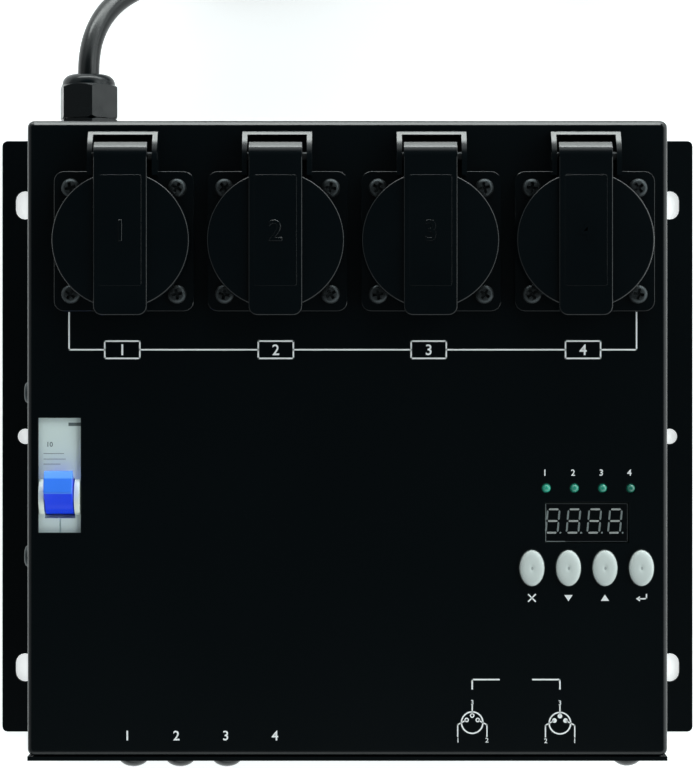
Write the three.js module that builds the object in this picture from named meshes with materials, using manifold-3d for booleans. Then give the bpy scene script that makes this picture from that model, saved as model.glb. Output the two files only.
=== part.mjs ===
import * as THREE from "three";
import { mergeVertices } from "three/addons/utils/BufferGeometryUtils.js";
import Module from "manifold-3d";

// A four-channel dimmer pack, lying on its back. Millimetres: +Z out of the front face, +Y to the
// wall with the cable gland, +X to the display side. The origin is the middle of the rear face.

// Enclosure
const BODY_HEIGHT = 230; // outside of the connector panel to outside of the top wall
const SHEET = 1.5; // steel sheet of cover and chassis
const BEND_RADIUS = 2; // outside radius of the bends
const CORNER_EXTRA = 0.4; // upright corners of the cover are rounder than the bends by this
const FIT = 0.3; // clearance between pieces that seat on each other
const BITE = 0.5; // how far blocks of one solid run into each other
const PANEL_SETBACK = 0.8; // edge of the connector panel behind the front face
const RETURN_DEPTH = 12; // cover's folded return behind the connector panel
const RIM_WIDTH = 12; // cover's folded rims against the back plate
const COVER_SCREW = 3.2; // hole in the rim
const COVER_SCREW_HEAD = 5.6; // countersink in the back plate
const SIDE_SCREW_Y = 78; // screws of the left and right rims, above and below the middle
const TOP_SCREW_X = 45; // screws of the top rim, left and right of the middle

// Mounting flanges of the back plate
const FLANGE_WIDTH = 19.4;
const FLANGE_CORNER = 2;
const SLOT_WIDTH = 7.4;
const SLOT_LENGTH = 11;
const SLOT_END = 25; // plate's end to the middle of the slot next to it
const SLOT_INSET = 10.5; // slots' centre line out from the cover's wall
const MIDDLE_HOLE = 6;

// Panel sockets with hinged lids
const CHANNELS = 4;
const FACE_MARGIN = 2.8; // collar to the edges of the square face plate
const FACE_GAP = 5; // between neighbouring face plates
const FACE_LEFT = 10; // left wall to the first face plate
const FACE_RIGHT = 5; // last face plate to the right wall
const SOCKET_TOP = 43.5; // top wall to the sockets' middle line
const FACE_THICK = 3;
const FACE_CORNER = 3.5;
const WELL_RADIUS = 19.5;
const WELL_DEPTH = 17.5;
const COLLAR_WALL = 2.7;
const COLLAR_HEIGHT = 6.3;
const BARREL_WALL = 1.8;
const BARREL_DEPTH = 35;
const CONTACT_SPACING = 19;
const CONTACT_HOLE = 5.4;
const CONTACT_DEPTH = 15;
const LID_CLEARANCE = 0.8; // skirt to collar
const LID_THICK = 2.9;
const SKIRT_THICK = 1.4;
const SKIRT_DROP = 2.4;
const STRAP_WIDTH = 19;
const STRAP_RISE = 1.5; // above the round of the lid
const TAB_REACH = 2.7; // finger tab beyond the lid's edge
const TAB_CORNER = 3;
const HINGE_RADIUS = 5; // rolled end of the strap
const HINGE_OFFSET = 5; // pin axis beyond the face plate
const PIN_RADIUS = 1.5;
const EAR_THICK = 1.8;
const EAR_GAP = 1.1; // strap to ear
const EAR_RISE = 3; // ear above the pin axis
const EAR_REACH = 9.2; // pin axis to the hood's far face
const EAR_BACK = 1.8; // crest of the ear before the pin axis
const HOOD_WALL = 1.4;
const CLIP_WIDTH = 4; // earth clip
const CLIP_SHEET = 0.8;
const CLIP_INSET = 0.6; // outside of a blade to the well's wall
const CLIP_CONTACT = 1.6; // how far each blade bows inwards
const WELL_FLOOR = 4;
const ROUND_SIDES = 24; // sides of a socket's large rounds

// Circuit breaker, its lever and its bracket
const BREAKER_WIDTH = 17.5;
const BREAKER_HEIGHT = 80;
const BREAKER_DEPTH = 69.7; // nose face to rear
const BREAKER_ROOM = 10.9; // back plate to the breaker's bracket
const BREAKER_Y = -12.4;
const NOSE_HEIGHT = 45;
const NOSE_DEPTH = 24.5; // nose face to shoulder
const WINDOW_MARGIN = 1.9; // nose behind the window's upper and lower edge
const LEVER_WIDTH = 10.2;
const CHEEK_WIDTH = 1.9;
const CHEEK_RADIUS = 6.6;
const DRUM_RADIUS = 6.3;
const DRUM_CLEARANCE = 0.6;
const THROW_NOTCH = 1.3; // notch below the drum, for the handle when it is down
const PIVOT_Y = -7.8; // below the breaker's middle
const PIVOT_DEPTH = 1.9; // behind the nose face
const SEAM = 0.5; // joint line of the moulding, below the lever
const TERMINAL_WELL = 5.5;
const BRACKET_SHEET = 0.8;
const BRACKET_SCREW = 4.4;
const BRACKET_SCREW_SPACING = 59.4;
const BRACKET_SCREW_DEPTH = 12; // behind the front face

// Display, lights, buttons and their board
const BOARD_GAP = 0.6; // right wall to the control board
const DISPLAY_Y = -29.35;
const DISPLAY_WIDTH = 29.6;
const DISPLAY_HEIGHT = 13.9;
const DISPLAY_RECESS = 0.4;
const LED_PITCH = 10.1;
const LED_ROW_X = 0.75; // middle of the row, right of the display's
const LED_ROW_Y = -17;
const LED_RADIUS = 1.5;
const LED_RIM = 1.9;
const LED_PROUD = 1.1;
const BUTTON_PITCH = 13.1;
const BUTTON_ROW_Y = -45.65;
const BUTTON_WIDTH = 8.8;
const BUTTON_HEIGHT = 12.8;
const BUTTON_PROUD = 2.2;
const BUTTON_RIM = 1; // flange behind the front face
const BUTTON_RIM_THICK = 1.4;
const BUTTON_TRAVEL = 1;
const SWITCH_SIZE = 6;
const SWITCH_HEIGHT = 4;
const BOARD_DEPTH = 9.4; // front of the control board behind the front face
const BOARD_THICK = 1.6;
const BOARD_WIDTH = 54;
const BOARD_HEIGHT = 56;
const BOARD_Y = -36;
const CHIP_LENGTH = 20;
const CHIP_WIDTH = 10;
const CHIP_HEIGHT = 3.5;
const CHIP_LEFT = 8; // chip's middle left of the board's
const CHIP_Y = -39;
const STRIP_LENGTH = 14;
const STRIP_WIDTH = 6;
const STRIP_HEIGHT = 8;
const STRIP_RIGHT = 15; // plug strip's middle right of the board's
const STRIP_Y = -39;
const STUD_RADIUS = 2.5;
const STUD_INSET = 3.5;

// Power board and what stands on it
const POWER_X = -7.5;
const POWER_BOTTOM = 39; // connector panel's outside to the power board's edge
const POWER_WIDTH = 125;
const POWER_HEIGHT = 100;
const STANDOFF = 8;
const SINK_LENGTH = 108;
const SINK_HEIGHT = 30;
const SINK_BASE = 3;
const SINK_DEPTH = 18; // fins in front of the base
const SINK_RISE = 9; // board's middle to the base's face for the triacs
const SINK_FINS = 10;
const FIN_THICK = 1.6;
const TRIAC_WIDTH = 10;
const TRIAC_THICK = 4.5;
const TRIAC_HEIGHT = 15;
const TRIAC_LIFT = 5;
const TRIAC_LEGS = 7; // width of a triac's three legs together
const LEG_THICK = 1;
const LEG_SETBACK = 1.8; // legs behind the triac's mounting face
const CHOKE_INNER = 6.5;
const CHOKE_WALL = 7;
const CHOKE_HEIGHT = 12;
const CHOKE_RISE = 34; // board's middle to the row of chokes
const CHANNEL_PITCH = 30; // triacs and chokes
const TRANSFORMER_LEFT = 4.5; // board's left edge to the transformer's core
const TRANSFORMER_BOTTOM = 5; // board's lower edge to the transformer's winding
const CORE_WIDTH = 35;
const CORE_HEIGHT = 29;
const CORE_THICK = 12;
const WINDING_THICK = 26;
const WINDING_INSET = 4; // winding within the core's outline
const FOOT_INSET = 10; // transformer's foot within the core's width
const TERMINAL_LENGTH = 60;
const TERMINAL_DEPTH = 11;
const TERMINAL_HEIGHT = 12;
const TERMINAL_RIGHT = 7; // terminal block to the board's right edge
const TERMINAL_EDGE = 2; // terminal block to the board's lower edge

// Fuses in the connector panel
const FUSE_PITCH = 17.4;
const FUSE_ROW_X = -53.6;
const FUSE_Z = 46;
const LAST_FUSE_Z = 22; // the last fuse is nearer the back plate than the others
const HOLDER_LIP = 1.75; // flange beyond the barrel
const HOLDER_FLANGE_THICK = 2;
const HOLDER_WALL = 1.7;
const HOLDER_DEPTH = 32;
const HOLDER_NUT_WALL = 2;
const HOLDER_NUT_THICK = 3;
const CAP_WALL = 1.1; // cap's stem round the fuse link
const CAP_RADIUS = 5.7;
const CAP_HEIGHT = 4.9;
const CAP_EDGE = 1.1;
const CAP_STEM_LENGTH = 6;
const CAP_SLOT = 1.3;
const LINK_RADIUS = 2.6;
const LINK_LENGTH = 20;
const LINK_GLASS = 2.3;
const LINK_CAP = 5;

// Signal sockets and blanking plug in the connector panel
const SIGNAL_Z = 42.5;
const SIGNAL_RIGHT = 38.7; // right wall to the input's axis
const SIGNAL_PITCH = 31.5; // input to output
const SIGNAL_WIDTH = 26;
const SIGNAL_HEIGHT = 31;
const SIGNAL_FLANGE = 2;
const SIGNAL_WALL = 2.1;
const SIGNAL_DEPTH = 25;
const SIGNAL_WELL = 9.6;
const SIGNAL_GROOVE = 1.9;
const SIGNAL_WELL_DEPTH = 15;
const SIGNAL_PIN = 1.2;
const SIGNAL_PIN_CIRCLE = 4.4;
const SIGNAL_PIN_SETBACK = 2.5;
const LATCH_WIDTH = 7;
const LATCH_WALL = 0.8; // between the groove and the latch
const LATCH_HEAD = 2.3;
const LATCH_PROUD = 1.6;
const LATCH_TRAVEL = 1.2;
const LATCH_TAB = 3; // depth of the tab
const LATCH_STEP = 1; // finger behind the tab's face
const LATCH_LENGTH = 13;
const BLANK_RIGHT = 10.8; // right wall to the plug's axis
const BLANK_Z = 46;
const BLANK_STEM = 5;
const BLANK_LIP = 1.4; // dome beyond the stem
const BLANK_PROUD = 7;

// Cable gland in the top wall
const GLAND_LEFT = 18.4; // left wall to the gland's axis
const GLAND_Z = 45;
const GLAND_ACROSS = 20; // across the flats
const GLAND_TURN = 0.2; // radians
const GLAND_BASE = 4;
const GLAND_THREAD_WALL = 3.2;
const GLAND_INSIDE = 9;
const GLAND_NUT_THICK = 4;
const GLAND_SPIGOT_WALL = 2.7;
const GLAND_SPIGOT_LENGTH = 9;
const GLAND_PLAY = 1; // cord to bore
const DOME_HEX = 12.5;
const DOME_ROUND = 3.9;
const DOME_END_RADIUS = 6.2;

// Mains lead: a free stretch, a coil of piled loops and a tail to the plug
const CORD_RADIUS = 4;
const CORD_SIDES = 10;
const LEAD_STEPS = 14;
const TAIL_STEPS = 8;
const LEAD_ROUTE = [
  [-96.65, 136.8, 45.4],
  [-96.5, 141.6, 44.5],
  [-95.9, 147.3, 42.3],
  [-94.6, 152.6, 39.4],
  [-92.7, 157.5, 36.0],
  [-90.1, 162.0, 32.2],
  [-86.8, 165.9, 28.2],
  [-82.9, 169.3, 24.3],
  [-78.5, 172.2, 20.8],
  [-73.7, 174.6, 17.5],
  [-68.6, 176.6, 14.7],
  [-62.1, 178.5, 11.8],
  [-55.0, 180.0, 9.3],
  [-47.8, 181.0, 7.3],
  [-41.0, 181.6, 5.8],
  [-34.5, 181.95, 4.6],
  [-28.3, 182.17, 4.2],
];
const TAIL_ROUTE = [
  [5.35, 187.62, 12.8],
  [9.15, 188.88, 12.8],
  [12.9, 190.1, 12.7],
  [20.2, 192.2, 11.4],
  [27.6, 194.0, 9.2],
  [35.0, 195.4, 6.9],
  [42.5, 196.5, 5.2],
  [50.0, 197.3, 4.4],
  [56.0, 197.7, 4.5],
  [62.0, 197.95, 5.3],
  [68.0, 198.0, 6.1],
  [71.0, 198.0, 6.2],
  [74.0, 198.0, 6.2],
];
const COIL_X = -20;
const COIL_Y = 233;
const COIL_Z = 4.2; // centre line of the lower layer
const COIL_INNER = 33.4;
const COIL_PITCH = 8.6; // loop to loop, and layer to layer
const LAYER_LOOPS = 2;
const COIL_OVERRUN = Math.PI / 9; // the last loop runs on to where the tail leaves
const LOOP_STEPS = 24;
const LOOP_SIDES = 6;
const REVERSAL = 0.3; // softens the turn from spiralling in to spiralling out
const PLUG_X = 112.8;
const PLUG_Y = 198;
const PLUG_RADIUS = 18.5;
const PLUG_HEIGHT = 20;
const PLUG_EDGE = 1.5;
const PLUG_NECK_Z = 6.2;
const PLUG_NECK_ROOT = 8;
const PLUG_NECK_END = 5.6;
const PLUG_PIN_RADIUS = 2.4;
const PLUG_PIN_LENGTH = 19;
const PLUG_FLOOR = 0.2;
const PLUG_SLOT_WIDTH = 6; // slots for the earth contacts
const PLUG_SLOT_LENGTH = 8;
const PLUG_SLOT_DEPTH = 2.5;

const wasm = await Module();
wasm.setup();

// Finishes
function finish(color, roughness, metalness = 0) {
  return new THREE.MeshStandardMaterial({ color, roughness, metalness, flatShading: true });
}

const FINISHES = {
  powderCoat: () => finish(0x0b0f10, 0.45, 0.3),
  blackPlastic: () => finish(0x0c0e0f, 0.4),
  rubber: () => finish(0x121313, 0.75),
  greyPlastic: () => finish(0xc4cdcb, 0.5),
  bluePlastic: () => finish(0x1c57f2, 0.35),
  buttonPlastic: () => finish(0xd9dcda, 0.5),
  displayFace: () => finish(0x17191a, 0.2),
  greenLens: () => finish(0x1f8f7a, 0.2),
  circuitBoard: () => finish(0x1d5a36, 0.6),
  aluminium: () => finish(0xa9adb0, 0.4, 0.9),
  zinc: () => finish(0x9fa3a4, 0.35, 0.9),
  brass: () => finish(0xc2a04e, 0.35, 0.9),
  copper: () => finish(0xb0683a, 0.45, 0.6),
  core: () => finish(0x55585a, 0.6, 0.4),
  glass: () => finish(0xe6ecec, 0.1),
};

// Shapes drawn flat
function circle(radius, x = 0, y = 0) {
  const shape = new THREE.Shape();
  shape.absarc(x, y, radius, 0, Math.PI * 2);
  return shape;
}

function ellipse(halfWidth, halfHeight, x = 0, y = 0) {
  const shape = new THREE.Shape();
  shape.absellipse(x, y, halfWidth, halfHeight, 0, Math.PI * 2);
  return shape;
}

function polygon(points) {
  return new THREE.Shape(points.map(([x, y]) => new THREE.Vector2(x, y)));
}

function roundedRect(width, height, radius, x = 0, y = 0) {
  const shape = new THREE.Shape();
  const right = x + width / 2 - radius;
  const left = x - width / 2 + radius;
  const top = y + height / 2 - radius;
  const bottom = y - height / 2 + radius;
  shape.absarc(right, bottom, radius, -Math.PI / 2, 0);
  shape.absarc(right, top, radius, 0, Math.PI / 2);
  shape.absarc(left, top, radius, Math.PI / 2, Math.PI);
  shape.absarc(left, bottom, radius, Math.PI, Math.PI * 1.5);
  return shape;
}

function hexagon(acrossFlats, turn = 0) {
  const corner = acrossFlats / Math.sqrt(3);
  const points = [];
  for (let i = 0; i < 6; i += 1) {
    const angle = turn + (i * Math.PI) / 3;
    points.push([corner * Math.cos(angle), corner * Math.sin(angle)]);
  }
  return polygon(points);
}

// Closed solids: a block between corners, a prism along Z, a prism along X whose outline is drawn
// in Y and Z (each arc of an outline gets the stated number of sides), and a form turned about Z
// from its outline of radius and height
function block(x0, x1, y0, y1, z0, z1) {
  const box = new THREE.BoxGeometry(x1 - x0, y1 - y0, z1 - z0);
  return box.translate((x0 + x1) / 2, (y0 + y1) / 2, (z0 + z1) / 2);
}

function prism(shape, z0, z1, arcSides = 8) {
  const settings = { depth: z1 - z0, bevelEnabled: false, curveSegments: arcSides / 2 };
  return new THREE.ExtrudeGeometry(shape, settings).translate(0, 0, z0);
}

const DRAWN_IN_YZ = new THREE.Matrix4().makeBasis(
  new THREE.Vector3(0, 1, 0),
  new THREE.Vector3(0, 0, 1),
  new THREE.Vector3(1, 0, 0),
);

function prismX(shape, x0, x1, arcSides = 8) {
  return prism(shape, x0, x1, arcSides).applyMatrix4(DRAWN_IN_YZ);
}

function turned(outline, segments = 24) {
  const points = outline.map(([radius, height]) => new THREE.Vector2(radius, height));
  return new THREE.LatheGeometry(points, segments).rotateX(Math.PI / 2);
}

function rod(radius, z0, z1, x = 0, y = 0, sides = 16) {
  return prism(circle(radius, x, y), z0, z1, sides);
}

// A three.js geometry as a solid for joining and cutting, and back
function solid(geometry) {
  const bare = geometry.index ? geometry.toNonIndexed() : geometry;
  const points = new THREE.BufferGeometry();
  points.setAttribute("position", bare.getAttribute("position"));
  const merged = mergeVertices(points, 1e-4);
  const vertProperties = merged.getAttribute("position").array;
  const triVerts = new Uint32Array(merged.index.array);
  return new wasm.Manifold(new wasm.Mesh({ numProp: 3, vertProperties, triVerts }));
}

function geometryOf(body) {
  const { vertProperties, triVerts } = body.getMesh();
  const geometry = new THREE.BufferGeometry();
  geometry.setAttribute("position", new THREE.BufferAttribute(vertProperties, 3));
  geometry.setIndex(new THREE.BufferAttribute(triVerts, 1));
  return geometry;
}

function join(...geometries) {
  return geometryOf(geometries.map(solid).reduce((whole, part) => whole.add(part)));
}

function cut(geometry, ...tools) {
  return geometryOf(tools.map(solid).reduce((rest, tool) => rest.subtract(tool), solid(geometry)));
}

function overlapOf(geometry, other) {
  return geometryOf(solid(geometry).intersect(solid(other)));
}

function piece(name, geometry, material) {
  geometry.computeVertexNormals();
  const mesh = new THREE.Mesh(geometry, material);
  mesh.name = name;
  return mesh;
}

// Where things sit: on the front face, out of the connector panel, out of the top wall
function onFront(x, y) {
  return new THREE.Matrix4().makeTranslation(x, y, BODY_DEPTH);
}

function onPanel(x, z) {
  const turn = new THREE.Matrix4().makeRotationX(Math.PI / 2);
  return new THREE.Matrix4().makeTranslation(x, -BODY_HEIGHT / 2, z).multiply(turn);
}

function onTop(x, z) {
  const turn = new THREE.Matrix4().makeRotationX(-Math.PI / 2);
  return new THREE.Matrix4().makeTranslation(x, BODY_HEIGHT / 2, z).multiply(turn);
}

function group(place, ...members) {
  const holder = new THREE.Group();
  holder.add(...members);
  holder.applyMatrix4(place);
  return holder;
}

function rowX(middle, pitch, index, count = CHANNELS) {
  return middle + (index - (count - 1) / 2) * pitch;
}

function eachChannel(make) {
  return Array.from({ length: CHANNELS }, (_, index) => make(index));
}

// Values that several pieces share
const BODY_DEPTH = SHEET + BREAKER_ROOM + BRACKET_SHEET + FIT + BREAKER_DEPTH + FIT + SHEET;
const COLLAR_RADIUS = WELL_RADIUS + COLLAR_WALL;
const FACE_SIZE = 2 * (COLLAR_RADIUS + FACE_MARGIN);
const SOCKET_PITCH = FACE_SIZE + FACE_GAP;
const BODY_WIDTH = FACE_LEFT + CHANNELS * SOCKET_PITCH - FACE_GAP + FACE_RIGHT;
const WALL_X = BODY_WIDTH / 2;
const WALL_Y = BODY_HEIGHT / 2;
const COVER_BOTTOM = -WALL_Y + SHEET + FIT;
const COVER_BACK = SHEET + FIT;
const CORNER_RADIUS = BEND_RADIUS + CORNER_EXTRA;
const SOCKET_ROW_X = (FACE_LEFT - FACE_RIGHT) / 2;
const SOCKET_ROW_Y = WALL_Y - SOCKET_TOP;
const BARREL_RADIUS = WELL_RADIUS + BARREL_WALL;
const LID_RADIUS = COLLAR_RADIUS + LID_CLEARANCE + SKIRT_THICK;
const CLIP_HALF = WELL_RADIUS - CLIP_INSET;
const BREAKER_X = -WALL_X + SHEET + FIT + BRACKET_SHEET + FIT + BREAKER_WIDTH / 2;
const WINDOW_HEIGHT = NOSE_HEIGHT - 2 * WINDOW_MARGIN;
const WINDOW_WIDTH = LEVER_WIDTH + 2 * (FIT + CHEEK_WIDTH + FIT);
const INNER_FACE = -SHEET - FIT; // highest point behind the front face, from the front face
const NOSE_FACE = INNER_FACE;
const SHOULDER = NOSE_FACE - NOSE_DEPTH;
const BREAKER_REAR = NOSE_FACE - BREAKER_DEPTH;
const PIVOT_Z = NOSE_FACE - PIVOT_DEPTH;
const LID_UNDER = FACE_THICK + COLLAR_HEIGHT + FIT;
const LID_TOP = LID_UNDER + LID_THICK;
const STRAP_TOP = LID_TOP + STRAP_RISE;
const PIN_Y = FACE_SIZE / 2 + HINGE_OFFSET;
const PIN_Z = STRAP_TOP - HINGE_RADIUS;
const PIN_BORE = PIN_RADIUS + FIT;
const EAR_INSIDE = STRAP_WIDTH / 2 + EAR_GAP;
const EAR_OUTSIDE = EAR_INSIDE + EAR_THICK;
const WELL_BOTTOM = FACE_THICK + COLLAR_HEIGHT - WELL_DEPTH;
const CLIP_TOP = WELL_BOTTOM - WELL_FLOOR - FIT;
const CONTROL_X = WALL_X - SHEET - BOARD_GAP - BOARD_WIDTH / 2;
const BUTTON_BASE = INNER_FACE - BUTTON_RIM_THICK;
const POWER_Y = -WALL_Y + POWER_BOTTOM + POWER_HEIGHT / 2;
const POWER_UNDER = SHEET + STANDOFF + FIT;
const POWER_TOP = POWER_UNDER + BOARD_THICK;
const SINK_Y = POWER_Y + SINK_RISE;
const HOLDER_BORE = LINK_RADIUS + FIT + CAP_WALL + FIT;
const HOLDER_RADIUS = HOLDER_BORE + HOLDER_WALL;
const SIGNAL_IN_X = WALL_X - SIGNAL_RIGHT;
const SIGNAL_OUT_X = SIGNAL_IN_X - SIGNAL_PITCH;
const SIGNAL_BARREL = SIGNAL_WELL + SIGNAL_WALL;
const LATCH_SLOT = LATCH_WIDTH / 2 + FIT;
const LATCH_INNER = SIGNAL_WELL + LATCH_WALL + FIT;
const LATCH_OUTER = LATCH_INNER + LATCH_HEAD;
const BLANK_X = WALL_X - BLANK_RIGHT;
const GLAND_X = -WALL_X + GLAND_LEFT;
const GLAND_BORE = CORD_RADIUS + GLAND_PLAY;
const GLAND_THREAD = GLAND_BORE + GLAND_THREAD_WALL;
const GLAND_SPIGOT = GLAND_BORE + GLAND_SPIGOT_WALL;

function ledPlaces() {
  return eachChannel((i) => [rowX(CONTROL_X + LED_ROW_X, LED_PITCH, i), LED_ROW_Y]);
}

function buttonPlaces() {
  return eachChannel((i) => [rowX(CONTROL_X, BUTTON_PITCH, i), BUTTON_ROW_Y]);
}

function studPlaces() {
  const dx = BOARD_WIDTH / 2 - STUD_INSET;
  const dy = BOARD_HEIGHT / 2 - STUD_INSET;
  const signs = [-1, 1];
  return signs.flatMap((i) => signs.map((j) => [CONTROL_X + i * dx, BOARD_Y + j * dy]));
}

function coverScrewPlaces() {
  const x = WALL_X - SHEET - RIM_WIDTH / 2;
  const y = WALL_Y - SHEET - RIM_WIDTH / 2;
  const sides = [-1, 1].flatMap((i) => [-1, 1].map((j) => [i * x, j * SIDE_SCREW_Y]));
  return [...sides, [-TOP_SCREW_X, y], [TOP_SCREW_X, y]];
}

function bracketScrewPlaces() {
  return [-1, 1].map((j) => (j * BRACKET_SCREW_SPACING) / 2);
}

// Front cover: a pan of bent sheet with a short return at the bottom and rims against the back
function frontCover() {
  const height = WALL_Y - COVER_BOTTOM;
  const outline = roundedRect(BODY_WIDTH, height, CORNER_RADIUS, 0, COVER_BOTTOM + height / 2);
  const shell = new THREE.ExtrudeGeometry(outline, {
    depth: BODY_DEPTH,
    bevelThickness: BEND_RADIUS,
    bevelSize: BEND_RADIUS,
    bevelOffset: -BEND_RADIUS,
    bevelSegments: 3,
    curveSegments: 2,
  }).translate(0, 0, -BEND_RADIUS);
  const insideX = WALL_X - SHEET;
  const insideTop = WALL_Y - SHEET;
  const insideBottom = COVER_BOTTOM + SHEET;
  const deep = -3 * BEND_RADIUS;
  const hollow = [
    block(-WALL_X - 1, WALL_X + 1, -WALL_Y - 1, WALL_Y + 1, deep, COVER_BACK),
    block(-insideX, insideX, insideBottom, insideTop, deep, BODY_DEPTH - SHEET),
    block(-insideX, insideX, -WALL_Y, insideBottom + 1, deep, BODY_DEPTH - RETURN_DEPTH),
  ];
  const rimX = insideX - RIM_WIDTH;
  const rimY = insideTop - RIM_WIDTH;
  const rimFront = COVER_BACK + SHEET;
  const rims = [
    block(-insideX - SHEET / 2, -rimX, COVER_BOTTOM, insideTop + SHEET / 2, COVER_BACK, rimFront),
    block(rimX, insideX + SHEET / 2, COVER_BOTTOM, insideTop + SHEET / 2, COVER_BACK, rimFront),
    block(-insideX, insideX, rimY, insideTop + SHEET / 2, COVER_BACK, rimFront),
  ];
  const studEnd = BODY_DEPTH - BOARD_DEPTH + FIT;
  const studs = studPlaces().map(([x, y]) => {
    return rod(STUD_RADIUS, studEnd, BODY_DEPTH - SHEET / 2, x, y, 10);
  });
  return cut(join(cut(shell, ...hollow), ...rims, ...studs), ...frontHoles(), ...coverHoles());
}

// Holes through the front face
function frontHoles() {
  const under = BODY_DEPTH - SHEET - 1;
  const over = BODY_DEPTH + 1;
  const sockets = eachChannel((i) => {
    const x = rowX(SOCKET_ROW_X, SOCKET_PITCH, i);
    return rod(BARREL_RADIUS + FIT, under, over, x, SOCKET_ROW_Y, ROUND_SIDES);
  });
  const lights = ledPlaces().map(([x, y]) => rod(LED_RADIUS + FIT, under, over, x, y, 12));
  const buttons = buttonPlaces().map(([x, y]) => {
    return prism(ellipse(BUTTON_WIDTH / 2 + FIT, BUTTON_HEIGHT / 2 + FIT, x, y), under, over, 20);
  });
  const halfWindow = WINDOW_WIDTH / 2;
  const halfDisplay = DISPLAY_WIDTH / 2 + FIT;
  const windows = [
    block(
      BREAKER_X - halfWindow,
      BREAKER_X + halfWindow,
      BREAKER_Y - WINDOW_HEIGHT / 2,
      BREAKER_Y + WINDOW_HEIGHT / 2,
      under,
      over,
    ),
    block(
      CONTROL_X - halfDisplay,
      CONTROL_X + halfDisplay,
      DISPLAY_Y - DISPLAY_HEIGHT / 2 - FIT,
      DISPLAY_Y + DISPLAY_HEIGHT / 2 + FIT,
      under,
      over,
    ),
  ];
  return [...sockets, ...lights, ...buttons, ...windows];
}

// Holes in the cover's walls and rims
function coverHoles() {
  const screws = coverScrewPlaces().map(([x, y]) => {
    return rod(COVER_SCREW / 2, COVER_BACK - 1, COVER_BACK + SHEET + 1, x, y, 8);
  });
  const bracket = bracketScrewPlaces().map((y) => {
    const hole = circle(BRACKET_SCREW / 2, BREAKER_Y + y, BODY_DEPTH - BRACKET_SCREW_DEPTH);
    return prismX(hole, -WALL_X - 1, -WALL_X + SHEET + 1, 10);
  });
  const gland = rod(GLAND_THREAD + FIT, -SHEET - 1, 1, 0, 0, 20);
  return [...screws, ...bracket, gland.applyMatrix4(onTop(GLAND_X, GLAND_Z))];
}

// Rear chassis: back plate with mounting flanges, and the connector panel bent up at the bottom
function rearChassis() {
  const plate = roundedRect(BODY_WIDTH + 2 * FLANGE_WIDTH, BODY_HEIGHT, FLANGE_CORNER);
  const bend = circle(BEND_RADIUS, -WALL_Y + BEND_RADIUS, BEND_RADIUS);
  const bendCorner = cut(
    block(-WALL_X, WALL_X, -WALL_Y - 1, -WALL_Y + BEND_RADIUS, -1, BEND_RADIUS),
    prismX(bend, -WALL_X - 1, WALL_X + 1, 16),
  );
  const panel = block(-WALL_X, WALL_X, -WALL_Y, -WALL_Y + SHEET, 0, BODY_DEPTH - PANEL_SETBACK);
  const standoffs = [-1, 1].flatMap((i) => {
    return [-1, 1].map((j) => {
      const x = POWER_X + i * (POWER_WIDTH / 2 - STUD_INSET);
      const y = POWER_Y + j * (POWER_HEIGHT / 2 - STUD_INSET);
      return rod(STUD_RADIUS, SHEET / 2, SHEET + STANDOFF, x, y, 10);
    });
  });
  const sheet = join(prism(plate, 0, SHEET, 4), panel, ...standoffs);
  return cut(sheet, bendCorner, ...plateHoles(), ...panelHoles());
}

function plateHoles() {
  const radius = SLOT_WIDTH / 2;
  const sides = [-1, 1].map((i) => i * (WALL_X + SLOT_INSET));
  const slots = sides.flatMap((x) => {
    return [-1, 1].map((j) => {
      const slot = roundedRect(SLOT_WIDTH, SLOT_LENGTH, radius - 0.01, x, j * (WALL_Y - SLOT_END));
      return prism(slot, -1, SHEET + 1, 4);
    });
  });
  const middles = sides.map((x) => rod(MIDDLE_HOLE / 2, -1, SHEET + 1, x, 0, 16));
  const head = COVER_SCREW_HEAD / 2;
  const hole = COVER_SCREW / 2;
  const countersink = [
    [0, -1],
    [head + 1, -1],
    [hole, head - hole],
    [hole, SHEET + 1],
    [0, SHEET + 1],
  ];
  const screws = coverScrewPlaces().map(([x, y]) => turned(countersink, 10).translate(x, y, 0));
  return [...slots, ...middles, ...screws];
}

// Place of one fuse on the connector panel
function fusePlace(index) {
  const z = index < CHANNELS - 1 ? FUSE_Z : LAST_FUSE_Z;
  return onPanel(rowX(FUSE_ROW_X, FUSE_PITCH, index), z);
}

function panelHoles() {
  const through = (radius, segments) => rod(radius, -SHEET - 1, 1, 0, 0, segments);
  const fuses = eachChannel((i) => {
    return through(HOLDER_RADIUS + FIT, 16).applyMatrix4(fusePlace(i));
  });
  const latch = block(-LATCH_SLOT, LATCH_SLOT, 0, LATCH_OUTER + FIT, -SHEET - 1, 1);
  const output = join(through(SIGNAL_BARREL + FIT, 24), latch);
  const input = through(SIGNAL_BARREL + FIT, 24);
  const blank = through(BLANK_STEM + FIT, 14);
  return [
    ...fuses,
    output.applyMatrix4(onPanel(SIGNAL_OUT_X, SIGNAL_Z)),
    input.applyMatrix4(onPanel(SIGNAL_IN_X, SIGNAL_Z)),
    blank.applyMatrix4(onPanel(BLANK_X, BLANK_Z)),
  ];
}

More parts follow.
